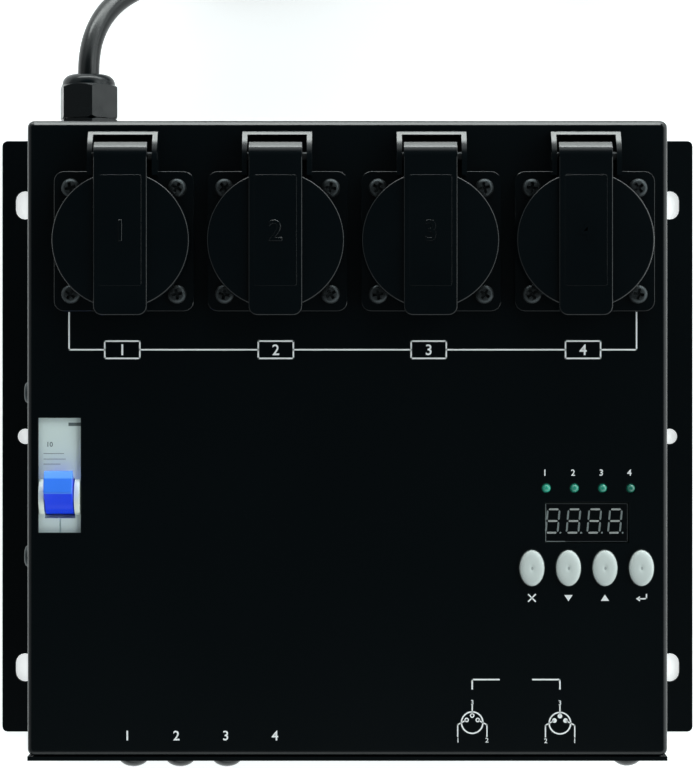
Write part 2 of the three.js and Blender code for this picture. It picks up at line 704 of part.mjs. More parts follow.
// Socket moulding: face plate, collar, barrel with the contact well, and the hinge hood
function socketBody() {
  const rim = FACE_THICK + COLLAR_HEIGHT;
  const contact = CONTACT_SPACING / 2;
  const bridge = CLIP_HALF + FIT;
  const clipSide = CLIP_WIDTH / 2 + FIT;
  const blade = CLIP_SHEET + CLIP_CONTACT + 2 * FIT;
  const moulding = join(
    prism(roundedRect(FACE_SIZE, FACE_SIZE, FACE_CORNER), 0, FACE_THICK, 4),
    rod(COLLAR_RADIUS, FACE_THICK / 2, rim, 0, 0, ROUND_SIDES),
    rod(BARREL_RADIUS, -BARREL_DEPTH, FACE_THICK / 2, 0, 0, ROUND_SIDES),
    hingeHood(),
  );
  return cut(
    moulding,
    rod(WELL_RADIUS, WELL_BOTTOM, rim + 1, 0, 0, ROUND_SIDES),
    rod(CONTACT_HOLE / 2, WELL_BOTTOM - CONTACT_DEPTH, WELL_BOTTOM + 1, -contact, 0, 12),
    rod(CONTACT_HOLE / 2, WELL_BOTTOM - CONTACT_DEPTH, WELL_BOTTOM + 1, contact, 0, 12),
    block(-clipSide, clipSide, -bridge, bridge, CLIP_TOP - CLIP_SHEET - FIT, CLIP_TOP + FIT),
    block(-clipSide, clipSide, -bridge, -bridge + blade, CLIP_TOP - CLIP_SHEET - FIT, WELL_BOTTOM + 1),
    block(-clipSide, clipSide, bridge - blade, bridge, CLIP_TOP - CLIP_SHEET - FIT, WELL_BOTTOM + 1),
  );
}

// Two ears that hold the hinge pin, joined by a low wall at their far end
function hingeHood() {
  const near = Math.sqrt(LID_RADIUS ** 2 - EAR_INSIDE ** 2) + EAR_GAP;
  const crestY = PIN_Y - EAR_BACK;
  const crestZ = PIN_Z + EAR_RISE;
  const reach = PIN_Y + EAR_REACH;
  const side = new THREE.Shape();
  side.moveTo(near, 0);
  side.lineTo(reach, 0);
  side.lineTo(reach, 1);
  side.absellipse(crestY, 1, reach - crestY, crestZ - 1, 0, Math.PI / 2);
  side.lineTo(near, crestZ);
  const whole = prismX(side, -EAR_OUTSIDE, EAR_OUTSIDE, 8);
  const throat = block(-EAR_INSIDE, EAR_INSIDE, near - 1, reach - HOOD_WALL, -1, crestZ + 1);
  const pin = prismX(circle(PIN_BORE, PIN_Y, PIN_Z), -EAR_OUTSIDE - 1, EAR_OUTSIDE + 1, 12);
  return cut(whole, throat, pin);
}

// Spring lid: a round with a skirt over the collar, and a strap rolled round the hinge pin
function socketLid() {
  const skirtEnd = LID_UNDER - SKIRT_DROP;
  const skirtInside = LID_RADIUS - SKIRT_THICK;
  const round = turned(
    [
      [0, LID_UNDER],
      [skirtInside, LID_UNDER],
      [skirtInside, skirtEnd],
      [LID_RADIUS, skirtEnd],
      [LID_RADIUS, LID_TOP - 0.6],
      [LID_RADIUS - 0.6, LID_TOP],
      [0, LID_TOP],
    ],
    ROUND_SIDES,
  );
  const half = STRAP_WIDTH / 2;
  const strap = new THREE.Shape();
  const tab = -LID_RADIUS - TAB_REACH + TAB_CORNER;
  strap.absarc(half - TAB_CORNER, tab, TAB_CORNER, -Math.PI / 2, 0);
  strap.lineTo(half, PIN_Y);
  strap.lineTo(-half, PIN_Y);
  strap.absarc(-half + TAB_CORNER, tab, TAB_CORNER, Math.PI, Math.PI * 1.5);
  return cut(
    join(
      round,
      prism(strap, LID_UNDER, STRAP_TOP, 4),
      prismX(circle(HINGE_RADIUS, PIN_Y, PIN_Z), -half, half, 20),
    ),
    prismX(circle(PIN_BORE, PIN_Y, PIN_Z), -half - 1, half + 1, 12),
  );
}

// Earth clip: one strip under the well's floor, with a bowed blade at each end
function earthClip() {
  const outer = CLIP_HALF;
  const inner = outer - CLIP_SHEET;
  const tip = WELL_BOTTOM + CONTACT_DEPTH - FACE_THICK;
  const bow = (WELL_BOTTOM + tip) / 2 + 2;
  const foot = CLIP_TOP - CLIP_SHEET;
  const half = [
    [outer, foot],
    [outer, WELL_BOTTOM + 2],
    [outer - CLIP_CONTACT, bow],
    [outer, tip],
    [inner, tip],
    [inner - CLIP_CONTACT, bow],
    [inner, WELL_BOTTOM + 2],
    [inner, CLIP_TOP],
  ];
  const mirrored = half.map(([y, z]) => [-y, z]).reverse();
  return prismX(polygon([...half, ...mirrored]), -CLIP_WIDTH / 2, CLIP_WIDTH / 2);
}

function socket(index) {
  const number = index + 1;
  return group(
    onFront(rowX(SOCKET_ROW_X, SOCKET_PITCH, index), SOCKET_ROW_Y),
    piece("socket_body_" + number, socketBody(), FINISHES.blackPlastic()),
    piece("socket_lid_" + number, socketLid(), FINISHES.blackPlastic()),
    piece(
      "lid_hinge_pin_" + number,
      prismX(circle(PIN_RADIUS, PIN_Y, PIN_Z), -EAR_OUTSIDE, EAR_OUTSIDE, 12),
      FINISHES.zinc(),
    ),
    piece("earth_clip_" + number, earthClip(), FINISHES.brass()),
  );
}

// Breaker: block with a raised nose, and two round cheeks beside the lever
function breakerBody() {
  const half = BREAKER_WIDTH / 2;
  const cheek = circle(CHEEK_RADIUS, PIVOT_Y, PIVOT_Z);
  const cheekIn = LEVER_WIDTH / 2 + FIT;
  const recess = circle(DRUM_RADIUS + DRUM_CLEARANCE, PIVOT_Y, PIVOT_Z);
  const tall = BREAKER_HEIGHT / 2;
  const nose = NOSE_HEIGHT / 2;
  const terminal = (tall + nose) / 2;
  return cut(
    join(
      block(-half, half, -tall, tall, BREAKER_REAR, SHOULDER),
      block(-half, half, -nose, nose, SHOULDER - 1, NOSE_FACE),
      prismX(cheek, -cheekIn - CHEEK_WIDTH, -cheekIn, 20),
      prismX(cheek, cheekIn, cheekIn + CHEEK_WIDTH, 20),
    ),
    prismX(recess, -cheekIn, cheekIn, 20),
    block(
      -cheekIn,
      cheekIn,
      PIVOT_Y - DRUM_RADIUS - THROW_NOTCH,
      PIVOT_Y,
      PIVOT_Z - THROW_NOTCH,
      NOSE_FACE + 1,
    ),
    block(-SEAM / 2, SEAM / 2, -nose - 1, PIVOT_Y, NOSE_FACE - SEAM, NOSE_FACE + 1),
    rod(TERMINAL_WELL / 2, SHOULDER - TERMINAL_WELL, SHOULDER + 1, 0, terminal, 10),
    rod(TERMINAL_WELL / 2, SHOULDER - TERMINAL_WELL, SHOULDER + 1, 0, -terminal, 10),
  );
}

// Toggle lever, up: a drum with a wedge-shaped handle
function breakerLever() {
  const half = LEVER_WIDTH / 2;
  const handle = [
    [-5.2, 2.2],
    [5.2, 2.2],
    [9.6, 6.6],
    [9.5, 8],
    [7.2, 9.6],
    [2.2, 10.5],
    [1.4, 10.2],
    [-2.6, 5.4],
  ].map(([y, z]) => [PIVOT_Y + y, PIVOT_Z + z]);
  return join(
    prismX(circle(DRUM_RADIUS, PIVOT_Y, PIVOT_Z), -half, half, 20),
    prismX(polygon(handle), -half, half),
  );
}

// Bracket: side plate screwed to the left wall, tabs on the breaker's shoulders, arm behind it
function breakerBracket() {
  const half = BREAKER_WIDTH / 2;
  const out = half + FIT + BRACKET_SHEET;
  const tall = BREAKER_HEIGHT / 2;
  const nose = NOSE_HEIGHT / 2 + FIT;
  const tab = SHOULDER + FIT;
  const arm = BREAKER_REAR - FIT - BRACKET_SHEET;
  const head = -BRACKET_SCREW_DEPTH + BRACKET_SCREW;
  const holes = bracketScrewPlaces().map((y) => {
    return prismX(circle(BRACKET_SCREW / 2, y, -BRACKET_SCREW_DEPTH), -out - 1, -half, 10);
  });
  return cut(
    join(
      block(-out, -half - FIT, -tall, tall, arm, head),
      block(-out, half, -tall, -nose, tab, tab + BRACKET_SHEET),
      block(-out, half, nose, tall, tab, tab + BRACKET_SHEET),
      block(-out, half, -tall, tall, arm, arm + BRACKET_SHEET),
    ),
    ...holes,
  );
}

function breaker() {
  return group(
    onFront(BREAKER_X, BREAKER_Y),
    piece("breaker_body", breakerBody(), FINISHES.greyPlastic()),
    piece("breaker_lever", breakerLever(), FINISHES.bluePlastic()),
    piece("breaker_bracket", breakerBracket(), FINISHES.zinc()),
  );
}

// Push button: oval cap with a dimple, held behind the front face by its rim
function buttonCap() {
  const round = BUTTON_HEIGHT / 2;
  const cap = turned(
    [
      [0, BUTTON_BASE],
      [round + BUTTON_RIM, BUTTON_BASE],
      [round + BUTTON_RIM, INNER_FACE],
      [round, INNER_FACE],
      [round, BUTTON_PROUD - 1.4],
      [round - 0.6, BUTTON_PROUD - 0.6],
      [round - 2.2, BUTTON_PROUD - 0.1],
      [1.2, BUTTON_PROUD],
      [0, BUTTON_PROUD - 0.4],
    ],
    20,
  );
  return cap.scale(BUTTON_WIDTH / BUTTON_HEIGHT, 1, 1);
}

function statusLight() {
  const foot = -BOARD_DEPTH + FIT;
  return turned(
    [
      [0, foot],
      [LED_RIM, foot],
      [LED_RIM, foot + 1],
      [LED_RADIUS, foot + 1],
      [LED_RADIUS, LED_PROUD - LED_RADIUS],
      [LED_RADIUS * Math.cos(Math.PI / 4), LED_PROUD - LED_RADIUS * (1 - Math.sin(Math.PI / 4))],
      [0, LED_PROUD],
    ],
    12,
  );
}

// Control board with a switch under each button, a controller chip and a plug strip behind
function controlBoard() {
  const top = -BOARD_DEPTH;
  const plunger = BUTTON_BASE - BUTTON_TRAVEL - FIT / 2;
  const switches = buttonPlaces().flatMap(([x, y]) => [
    block(
      x - SWITCH_SIZE / 2,
      x + SWITCH_SIZE / 2,
      y - SWITCH_SIZE / 2,
      y + SWITCH_SIZE / 2,
      top - BOARD_THICK / 2,
      top + SWITCH_HEIGHT,
    ),
    rod(SWITCH_SIZE / 4, top, plunger, x, y, 10),
  ]);
  const behind = top - BOARD_THICK;
  const slab = block(
    CONTROL_X - BOARD_WIDTH / 2,
    CONTROL_X + BOARD_WIDTH / 2,
    BOARD_Y - BOARD_HEIGHT / 2,
    BOARD_Y + BOARD_HEIGHT / 2,
    behind,
    top,
  );
  const chip = block(
    CONTROL_X - CHIP_LEFT - CHIP_LENGTH / 2,
    CONTROL_X - CHIP_LEFT + CHIP_LENGTH / 2,
    CHIP_Y - CHIP_WIDTH / 2,
    CHIP_Y + CHIP_WIDTH / 2,
    behind - CHIP_HEIGHT,
    behind + BITE,
  );
  const strip = block(
    CONTROL_X + STRIP_RIGHT - STRIP_LENGTH / 2,
    CONTROL_X + STRIP_RIGHT + STRIP_LENGTH / 2,
    STRIP_Y - STRIP_WIDTH / 2,
    STRIP_Y + STRIP_WIDTH / 2,
    behind - STRIP_HEIGHT,
    behind + BITE,
  );
  return join(slab, chip, strip, ...switches);
}

function controls() {
  const display = block(
    CONTROL_X - DISPLAY_WIDTH / 2,
    CONTROL_X + DISPLAY_WIDTH / 2,
    DISPLAY_Y - DISPLAY_HEIGHT / 2,
    DISPLAY_Y + DISPLAY_HEIGHT / 2,
    -BOARD_DEPTH + FIT,
    -DISPLAY_RECESS,
  );
  const buttons = buttonPlaces().map(([x, y], i) => {
    const cap = piece("button_" + (i + 1), buttonCap(), FINISHES.buttonPlastic());
    cap.position.set(x, y, 0);
    return cap;
  });
  const lights = ledPlaces().map(([x, y], i) => {
    const lens = piece("status_light_" + (i + 1), statusLight(), FINISHES.greenLens());
    lens.position.set(x, y, 0);
    return lens;
  });
  return group(
    onFront(0, 0),
    piece("display", display, FINISHES.displayFace()),
    piece("control_board", controlBoard(), FINISHES.circuitBoard()),
    ...buttons,
    ...lights,
  );
}

// Power board: slab, a triac against the heat sink for each channel, and the terminal block
function powerBoard() {
  const slab = block(
    POWER_X - POWER_WIDTH / 2,
    POWER_X + POWER_WIDTH / 2,
    POWER_Y - POWER_HEIGHT / 2,
    POWER_Y + POWER_HEIGHT / 2,
    POWER_UNDER,
    POWER_TOP,
  );
  const near = SINK_Y + FIT;
  const legs = near + LEG_SETBACK;
  const triacs = eachChannel((i) => rowX(POWER_X, CHANNEL_PITCH, i)).flatMap((x) => {
    const foot = POWER_TOP + TRIAC_LIFT;
    return [
      block(x - TRIAC_LEGS / 2, x + TRIAC_LEGS / 2, legs, legs + LEG_THICK, POWER_TOP - BITE, foot + BITE),
      block(x - TRIAC_WIDTH / 2, x + TRIAC_WIDTH / 2, near, near + TRIAC_THICK, foot, foot + TRIAC_HEIGHT),
    ];
  });
  const edge = POWER_Y - POWER_HEIGHT / 2 + TERMINAL_EDGE;
  const right = POWER_X + POWER_WIDTH / 2 - TERMINAL_RIGHT;
  const terminals = block(
    right - TERMINAL_LENGTH,
    right,
    edge,
    edge + TERMINAL_DEPTH,
    POWER_TOP - BITE,
    POWER_TOP + TERMINAL_HEIGHT,
  );
  return join(slab, terminals, ...triacs);
}

// Heat sink: upright base with fins, drawn from above
function heatSink() {
  const foot = POWER_TOP + FIT;
  const left = POWER_X - SINK_LENGTH / 2;
  const front = SINK_Y - SINK_BASE;
  const base = block(left, left + SINK_LENGTH, front, SINK_Y, foot, foot + SINK_HEIGHT);
  const step = (SINK_LENGTH - FIN_THICK) / (SINK_FINS - 1);
  const fins = Array.from({ length: SINK_FINS }, (_, i) => {
    const x = left + i * step;
    return block(x, x + FIN_THICK, front - SINK_DEPTH, front + SINK_BASE / 2, foot, foot + SINK_HEIGHT);
  });
  return join(base, ...fins);
}

function choke() {
  const outer = CHOKE_INNER + CHOKE_WALL;
  return turned(
    [
      [CHOKE_INNER, 1.5],
      [CHOKE_INNER + 1.5, 0],
      [outer - 1.5, 0],
      [outer, 1.5],
      [outer, CHOKE_HEIGHT - 1.5],
      [outer - 1.5, CHOKE_HEIGHT],
      [CHOKE_INNER + 1.5, CHOKE_HEIGHT],
      [CHOKE_INNER, CHOKE_HEIGHT - 1.5],
      [CHOKE_INNER, 1.5],
    ],
    16,
  );
}

function mainsTransformer() {
  const half = CORE_WIDTH / 2;
  const inset = WINDING_INSET;
  const side = half - inset;
  const thick = WINDING_THICK / 2;
  const foot = half - FOOT_INSET;
  return join(
    block(-half, half, -CORE_THICK / 2, CORE_THICK / 2, 0, CORE_HEIGHT),
    block(-side, side, -thick, thick, inset, CORE_HEIGHT - inset),
    block(-side, side, -thick, thick, 0, inset / 2),
    block(-foot, foot, -thick + inset, thick - inset, 0, inset + BITE),
  );
}

function powerElectronics() {
  const seat = POWER_TOP + FIT;
  const left = POWER_X - POWER_WIDTH / 2 + TRANSFORMER_LEFT;
  const bottom = POWER_Y - POWER_HEIGHT / 2 + TRANSFORMER_BOTTOM;
  const transformer = piece("mains_transformer", mainsTransformer(), FINISHES.core());
  transformer.position.set(left + CORE_WIDTH / 2, bottom + WINDING_THICK / 2, seat);
  const chokes = eachChannel((i) => {
    const ring = piece("filter_choke_" + (i + 1), choke(), FINISHES.copper());
    ring.position.set(rowX(POWER_X, CHANNEL_PITCH, i), POWER_Y + CHOKE_RISE, seat);
    return ring;
  });
  return group(
    new THREE.Matrix4(),
    piece("power_board", powerBoard(), FINISHES.circuitBoard()),
    piece("heat_sink", heatSink(), FINISHES.aluminium()),
    transformer,
    ...chokes,
  );
}

// Fuse holder: flange outside the panel, barrel and nut inside
function fuseHolder() {
  const flange = HOLDER_FLANGE_THICK;
  const bottom = -HOLDER_DEPTH;
  const holderFlange = HOLDER_RADIUS + HOLDER_LIP;
  const holderNut = HOLDER_RADIUS + HOLDER_NUT_WALL;
  const profile = [
    [0, bottom],
    [HOLDER_RADIUS, bottom],
    [HOLDER_RADIUS, -SHEET - HOLDER_NUT_THICK],
    [holderNut, -SHEET - HOLDER_NUT_THICK],
    [holderNut, -SHEET],
    [HOLDER_RADIUS, -SHEET],
    [HOLDER_RADIUS, 0],
    [holderFlange, 0],
    [holderFlange, flange - 0.5],
    [holderFlange - 0.5, flange],
    [HOLDER_BORE, flange],
    [HOLDER_BORE, bottom + 2],
    [0, bottom + 2],
  ];
  return turned(profile, 14);
}

// Domed cap with a screwdriver slot, and a stem that grips the end of the fuse link
function fuseCap() {
  const base = HOLDER_FLANGE_THICK + FIT;
  const top = base + CAP_HEIGHT;
  const edge = base + CAP_EDGE;
  const dome = top - edge;
  const stemRadius = HOLDER_BORE - FIT;
  const stemEnd = base - CAP_STEM_LENGTH;
  const grip = LINK_RADIUS + FIT;
  const outline = [
    [grip, stemEnd],
    [stemRadius, stemEnd],
    [stemRadius, base],
    [CAP_RADIUS, base],
    [CAP_RADIUS, edge],
    [CAP_RADIUS * Math.cos(0.45), edge + dome * Math.sin(0.45)],
    [CAP_RADIUS * Math.cos(0.9), edge + dome * Math.sin(0.9)],
    [CAP_RADIUS * Math.cos(1.25), edge + dome * Math.sin(1.25)],
    [0, top],
    [0, stemEnd + LINK_CAP],
    [grip, stemEnd + LINK_CAP],
    [grip, stemEnd],
  ];
  const slot = block(-CAP_RADIUS, CAP_RADIUS, -CAP_SLOT / 2, CAP_SLOT / 2, top - CAP_SLOT, top + 1);
  return cut(turned(outline, 14), slot);
}

// Glass fuse link with a metal cap at each end
function fuseLink() {
  const base = HOLDER_FLANGE_THICK + FIT;
  const outerEnd = base - CAP_STEM_LENGTH + LINK_CAP - FIT;
  const innerEnd = outerEnd - LINK_LENGTH;
  return turned(
    [
      [0, innerEnd],
      [LINK_RADIUS, innerEnd],
      [LINK_RADIUS, innerEnd + LINK_CAP],
      [LINK_GLASS, innerEnd + LINK_CAP],
      [LINK_GLASS, outerEnd - LINK_CAP],
      [LINK_RADIUS, outerEnd - LINK_CAP],
      [LINK_RADIUS, outerEnd],
      [0, outerEnd],
    ],
    10,
  );
}

function fuse(index) {
  const number = index + 1;
  return group(
    fusePlace(index),
    piece("fuse_holder_" + number, fuseHolder(), FINISHES.blackPlastic()),
    piece("fuse_link_" + number, fuseLink(), FINISHES.glass()),
    piece("fuse_cap_" + number, fuseCap(), FINISHES.blackPlastic()),
  );
}

// Flange and barrel that both signal sockets have
function signalShell() {
  return join(
    prism(roundedRect(SIGNAL_WIDTH, SIGNAL_HEIGHT, 2.5), 0, SIGNAL_FLANGE, 4),
    rod(SIGNAL_BARREL, -SIGNAL_DEPTH, SIGNAL_FLANGE / 2, 0, 0, 24),
  );
}

function signalContacts(radius, z0, z1) {
  return [0, 1, 2].map((i) => {
    const angle = Math.PI / 2 + (i * Math.PI * 2) / 3;
    const x = SIGNAL_PIN_CIRCLE * Math.cos(angle);
    const y = SIGNAL_PIN_CIRCLE * Math.sin(angle);
    return rod(radius, z0, z1, x, y, 8);
  });
}

function signalOutput() {
  const floor = SIGNAL_FLANGE - SIGNAL_WELL_DEPTH;
  const groove = cut(
    rod(SIGNAL_WELL, floor, SIGNAL_FLANGE + 1, 0, 0, 24),
    rod(SIGNAL_WELL - SIGNAL_GROOVE, floor - 1, SIGNAL_FLANGE + 2, 0, 0, 24),
  );
  const holes = signalContacts(SIGNAL_PIN + FIT, floor, SIGNAL_FLANGE + 1);
  const channel = block(
    -LATCH_SLOT,
    LATCH_SLOT,
    LATCH_INNER - FIT,
    LATCH_OUTER + FIT,
    -LATCH_LENGTH - LATCH_TRAVEL,
    SIGNAL_FLANGE + 1,
  );
  return cut(signalShell(), groove, channel, ...holes);
}

// Push latch: a tab in the flange on a finger that reaches into the barrel
function signalLatch() {
  const half = LATCH_WIDTH / 2;
  const head = SIGNAL_FLANGE + LATCH_PROUD;
  const finger = SIGNAL_BARREL - FIT;
  return join(
    block(-half, half, LATCH_INNER, LATCH_OUTER, head - LATCH_TAB, head),
    block(-half, half, LATCH_INNER, finger, -LATCH_LENGTH + LATCH_TRAVEL, head - LATCH_STEP),
  );
}

function signalInput() {
  const floor = SIGNAL_FLANGE - SIGNAL_WELL_DEPTH;
  const well = rod(SIGNAL_WELL, floor, SIGNAL_FLANGE + 1, 0, 0, 24);
  const pins = signalContacts(SIGNAL_PIN, floor - 1, SIGNAL_FLANGE - SIGNAL_PIN_SETBACK);
  return join(cut(signalShell(), well), ...pins);
}

function blankingPlug() {
  const stemEnd = -SHEET - 3;
  const radius = BLANK_STEM + BLANK_LIP;
  return turned(
    [
      [0, stemEnd],
      [BLANK_STEM - 0.5, stemEnd],
      [BLANK_STEM, -SHEET],
      [BLANK_STEM, 0],
      [radius, 0],
      [radius, 1.4],
      [radius * Math.cos(0.4), 1.4 + (BLANK_PROUD - 1.4) * Math.sin(0.4)],
      [radius * Math.cos(0.8), 1.4 + (BLANK_PROUD - 1.4) * Math.sin(0.8)],
      [radius * Math.cos(1.2), 1.4 + (BLANK_PROUD - 1.4) * Math.sin(1.2)],
      [0, BLANK_PROUD],
    ],
    18,
  );
}

function connectorPanel() {
  const output = group(
    onPanel(SIGNAL_OUT_X, SIGNAL_Z),
    piece("signal_output_socket", signalOutput(), FINISHES.blackPlastic()),
    piece("signal_output_latch", signalLatch(), FINISHES.zinc()),
  );
  const input = group(
    onPanel(SIGNAL_IN_X, SIGNAL_Z),
    piece("signal_input_socket", signalInput(), FINISHES.blackPlastic()),
  );
  const blank = group(
    onPanel(BLANK_X, BLANK_Z),
    piece("blanking_plug", blankingPlug(), FINISHES.blackPlastic()),
  );
  return [output, input, blank];
}

// Gland body: hexagon on the wall, thread with lock nut inside, spigot inside the domed nut
function glandBody() {
  const spigotEnd = GLAND_BASE + GLAND_SPIGOT_LENGTH;
  const across = GLAND_ACROSS;
  return cut(
    join(
      prism(hexagon(across, Math.PI / 6 + GLAND_TURN), 0, GLAND_BASE),
      prism(hexagon(across + 2), -SHEET - GLAND_NUT_THICK, -SHEET),
      rod(GLAND_THREAD, -SHEET - GLAND_INSIDE, GLAND_BASE / 2, 0, 0, 20),
      rod(GLAND_SPIGOT, GLAND_BASE / 2, spigotEnd, 0, 0, 20),
    ),
    rod(GLAND_BORE, -SHEET - GLAND_INSIDE - 1, spigotEnd + 1, 0, 0, 16),
  );
}

function glandNut() {
  const start = GLAND_BASE + FIT;
  const hexEnd = start + DOME_HEX;
  const end = hexEnd + DOME_ROUND;
  const corner = GLAND_ACROSS / Math.sqrt(3) + 1;
  const flat = GLAND_ACROSS / 2;
  const envelope = turned(
    [
      [0, start],
      [corner, start],
      [corner, hexEnd - 1],
      [flat, hexEnd],
      [flat - 1.2, hexEnd + DOME_ROUND * 0.55],
      [DOME_END_RADIUS + 1, end - 0.4],
      [DOME_END_RADIUS, end],
      [0, end],
    ],
    24,
  );
  const hex = prism(hexagon(GLAND_ACROSS, Math.PI / 6 + GLAND_TURN), start, end);
  const cavity = rod(GLAND_SPIGOT + FIT, start - 1, GLAND_BASE + GLAND_SPIGOT_LENGTH + FIT, 0, 0, 20);
  return cut(overlapOf(envelope, hex), cavity);
}

function gland() {
  return group(
    onTop(GLAND_X, GLAND_Z),
    piece("gland_body", glandBody(), FINISHES.blackPlastic()),
    piece("gland_nut", glandNut(), FINISHES.blackPlastic()),
  );
}

function cordCurve(route) {
  return new THREE.CatmullRomCurve3(route.map((p) => new THREE.Vector3(...p)), false, "centripetal");
}

function freeCord(route, steps) {
  const section = circle(CORD_RADIUS);
  const settings = { steps, extrudePath: cordCurve(route), curveSegments: CORD_SIDES / 2 };
  return new THREE.ExtrudeGeometry(section, settings);
}

// Centre line of the coil: it spirals in, climbs to the upper layer in the half turn where the
// spiral reverses, and spirals out again, with a straight end of one diameter at each end
function coilRoute() {
  const layer = LAYER_LOOPS * Math.PI * 2;
  const total = 2 * layer + COIL_OVERRUN;
  const steps = Math.round((total / (Math.PI * 2)) * LOOP_STEPS);
  const at = (turn) => {
    const fromReversal = Math.sqrt((turn - layer) ** 2 + REVERSAL ** 2);
    const radius = COIL_INNER + (COIL_PITCH * fromReversal) / (Math.PI * 2);
    const rise = THREE.MathUtils.smoothstep(turn, layer - Math.PI / 2, layer + Math.PI / 2);
    const angle = turn - Math.PI / 2;
    const x = COIL_X + radius * Math.cos(angle);
    const y = COIL_Y + radius * Math.sin(angle);
    return new THREE.Vector3(x, y, COIL_Z + COIL_PITCH * rise);
  };
  const loops = Array.from({ length: steps + 1 }, (_, i) => at((total * i) / steps));
  const small = 1e-3;
  const into = at(small).sub(at(0)).setLength(2 * CORD_RADIUS);
  const outOf = at(total).sub(at(total - small)).setLength(2 * CORD_RADIUS);
  return [loops[0].clone().sub(into), ...loops, loops[steps].clone().add(outOf)];
}

// A tube of rings round a route, capped at both ends
function woundTube(route, radius, sides) {
  const positions = [];
  const faces = [];
  let side = new THREE.Vector3(0, 0, 1);
  route.forEach((point, i) => {
    const before = route[Math.max(i - 1, 0)];
    const after = route[Math.min(i + 1, route.length - 1)];
    const along = after.clone().sub(before).normalize();
    side = side.clone().addScaledVector(along, -side.dot(along)).normalize();
    const across = along.clone().cross(side);
    for (let k = 0; k < sides; k += 1) {
      const angle = ((k + 0.5) * Math.PI * 2) / sides;
      const rim = point
        .clone()
        .addScaledVector(side, radius * Math.cos(angle))
        .addScaledVector(across, radius * Math.sin(angle));
      positions.push(rim.x, rim.y, rim.z);
    }
  });
  for (let i = 0; i < route.length - 1; i += 1) {
    for (let k = 0; k < sides; k += 1) {
      const a = i * sides + k;
      const b = i * sides + ((k + 1) % sides);
      faces.push(a, b, b + sides, a, b + sides, a + sides);
    }
  }
  const last = (route.length - 1) * sides;
  for (let k = 1; k < sides - 1; k += 1) {
    faces.push(0, k + 1, k, last, last + k, last + k + 1);
  }
  const geometry = new THREE.BufferGeometry();
  geometry.setAttribute("position", new THREE.Float32BufferAttribute(positions, 3));
  geometry.setIndex(faces);
  return geometry;
}

// Least gap of a wound cord to itself, between points at least a third of a loop apart
function leastGap(route, diameter) {
  const apart = Math.round(LOOP_STEPS / 3);
  let least = Infinity;
  route.forEach((point, i) => {
    for (let j = i + apart; j < route.length; j += 1) {
      least = Math.min(least, point.distanceTo(route[j]) - diameter);
    }
  });
  return least;
}

// Plug lying on its back: a round body with two pins up, and a neck along the floor to the cord
function mainsPlug() {
  const floor = PLUG_FLOOR;
  const rim = PLUG_RADIUS;
  const body = turned(
    [
      [0, floor],
      [rim - PLUG_EDGE, floor],
      [rim, floor + PLUG_EDGE],
      [rim, PLUG_HEIGHT - PLUG_EDGE],
      [rim - PLUG_EDGE, PLUG_HEIGHT],
      [0, PLUG_HEIGHT],
    ],
    28,
  );
  const lastCord = TAIL_ROUTE[TAIL_ROUTE.length - 1];
  const neckEnd = lastCord[0] + FIT - PLUG_X;
  const neckRoot = -rim * 0.8;
  const neck = new THREE.CylinderGeometry(PLUG_NECK_END, PLUG_NECK_ROOT, neckRoot - neckEnd, 14)
    .rotateZ(Math.PI / 2)
    .translate((neckRoot + neckEnd) / 2, 0, PLUG_NECK_Z);
  const pins = [-1, 1].map((side) => {
    const y = (side * CONTACT_SPACING) / 2;
    return rod(PLUG_PIN_RADIUS, PLUG_HEIGHT - 1, PLUG_HEIGHT + PLUG_PIN_LENGTH, 0, y, 12);
  });
  const earthSlots = [-1, 1].map((side) => {
    const outer = side * (rim + 1);
    const inner = side * (rim - PLUG_SLOT_DEPTH);
    const half = PLUG_SLOT_WIDTH / 2;
    const foot = PLUG_HEIGHT - PLUG_SLOT_LENGTH;
    return block(Math.min(outer, inner), Math.max(outer, inner), -half, half, foot, PLUG_HEIGHT + 1);
  });
  const below = block(neckEnd - 1, 0, -rim, rim, -rim, floor);
  const shaped = join(cut(join(body, neck), below, ...earthSlots), ...pins);
  return shaped.translate(PLUG_X, PLUG_Y, 0);
}

function mainsLead() {
  const loops = coilRoute();
  console.log("least gap in the coil: " + leastGap(loops, 2 * CORD_RADIUS).toFixed(2) + " mm");
  return [
    piece("mains_cord", freeCord(LEAD_ROUTE, LEAD_STEPS), FINISHES.rubber()),
    piece("mains_cord_coil", woundTube(loops, CORD_RADIUS, LOOP_SIDES), FINISHES.rubber()),
    piece("mains_cord_tail", freeCord(TAIL_ROUTE, TAIL_STEPS), FINISHES.rubber()),
    piece("mains_plug", mainsPlug(), FINISHES.rubber()),
  ];
}

const dimmerPack = new THREE.Group();
dimmerPack.add(
  piece("rear_chassis", rearChassis(), FINISHES.powderCoat()),
  piece("front_cover", frontCover(), FINISHES.powderCoat()),
  ...eachChannel(socket),
  breaker(),
  controls(),
  powerElectronics(),
  ...eachChannel(fuse),
  ...connectorPanel(),
  gland(),
  ...mainsLead(),
);

export default dimmerPack;
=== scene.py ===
import math

import bmesh
import bpy
from mathutils import Matrix, Vector


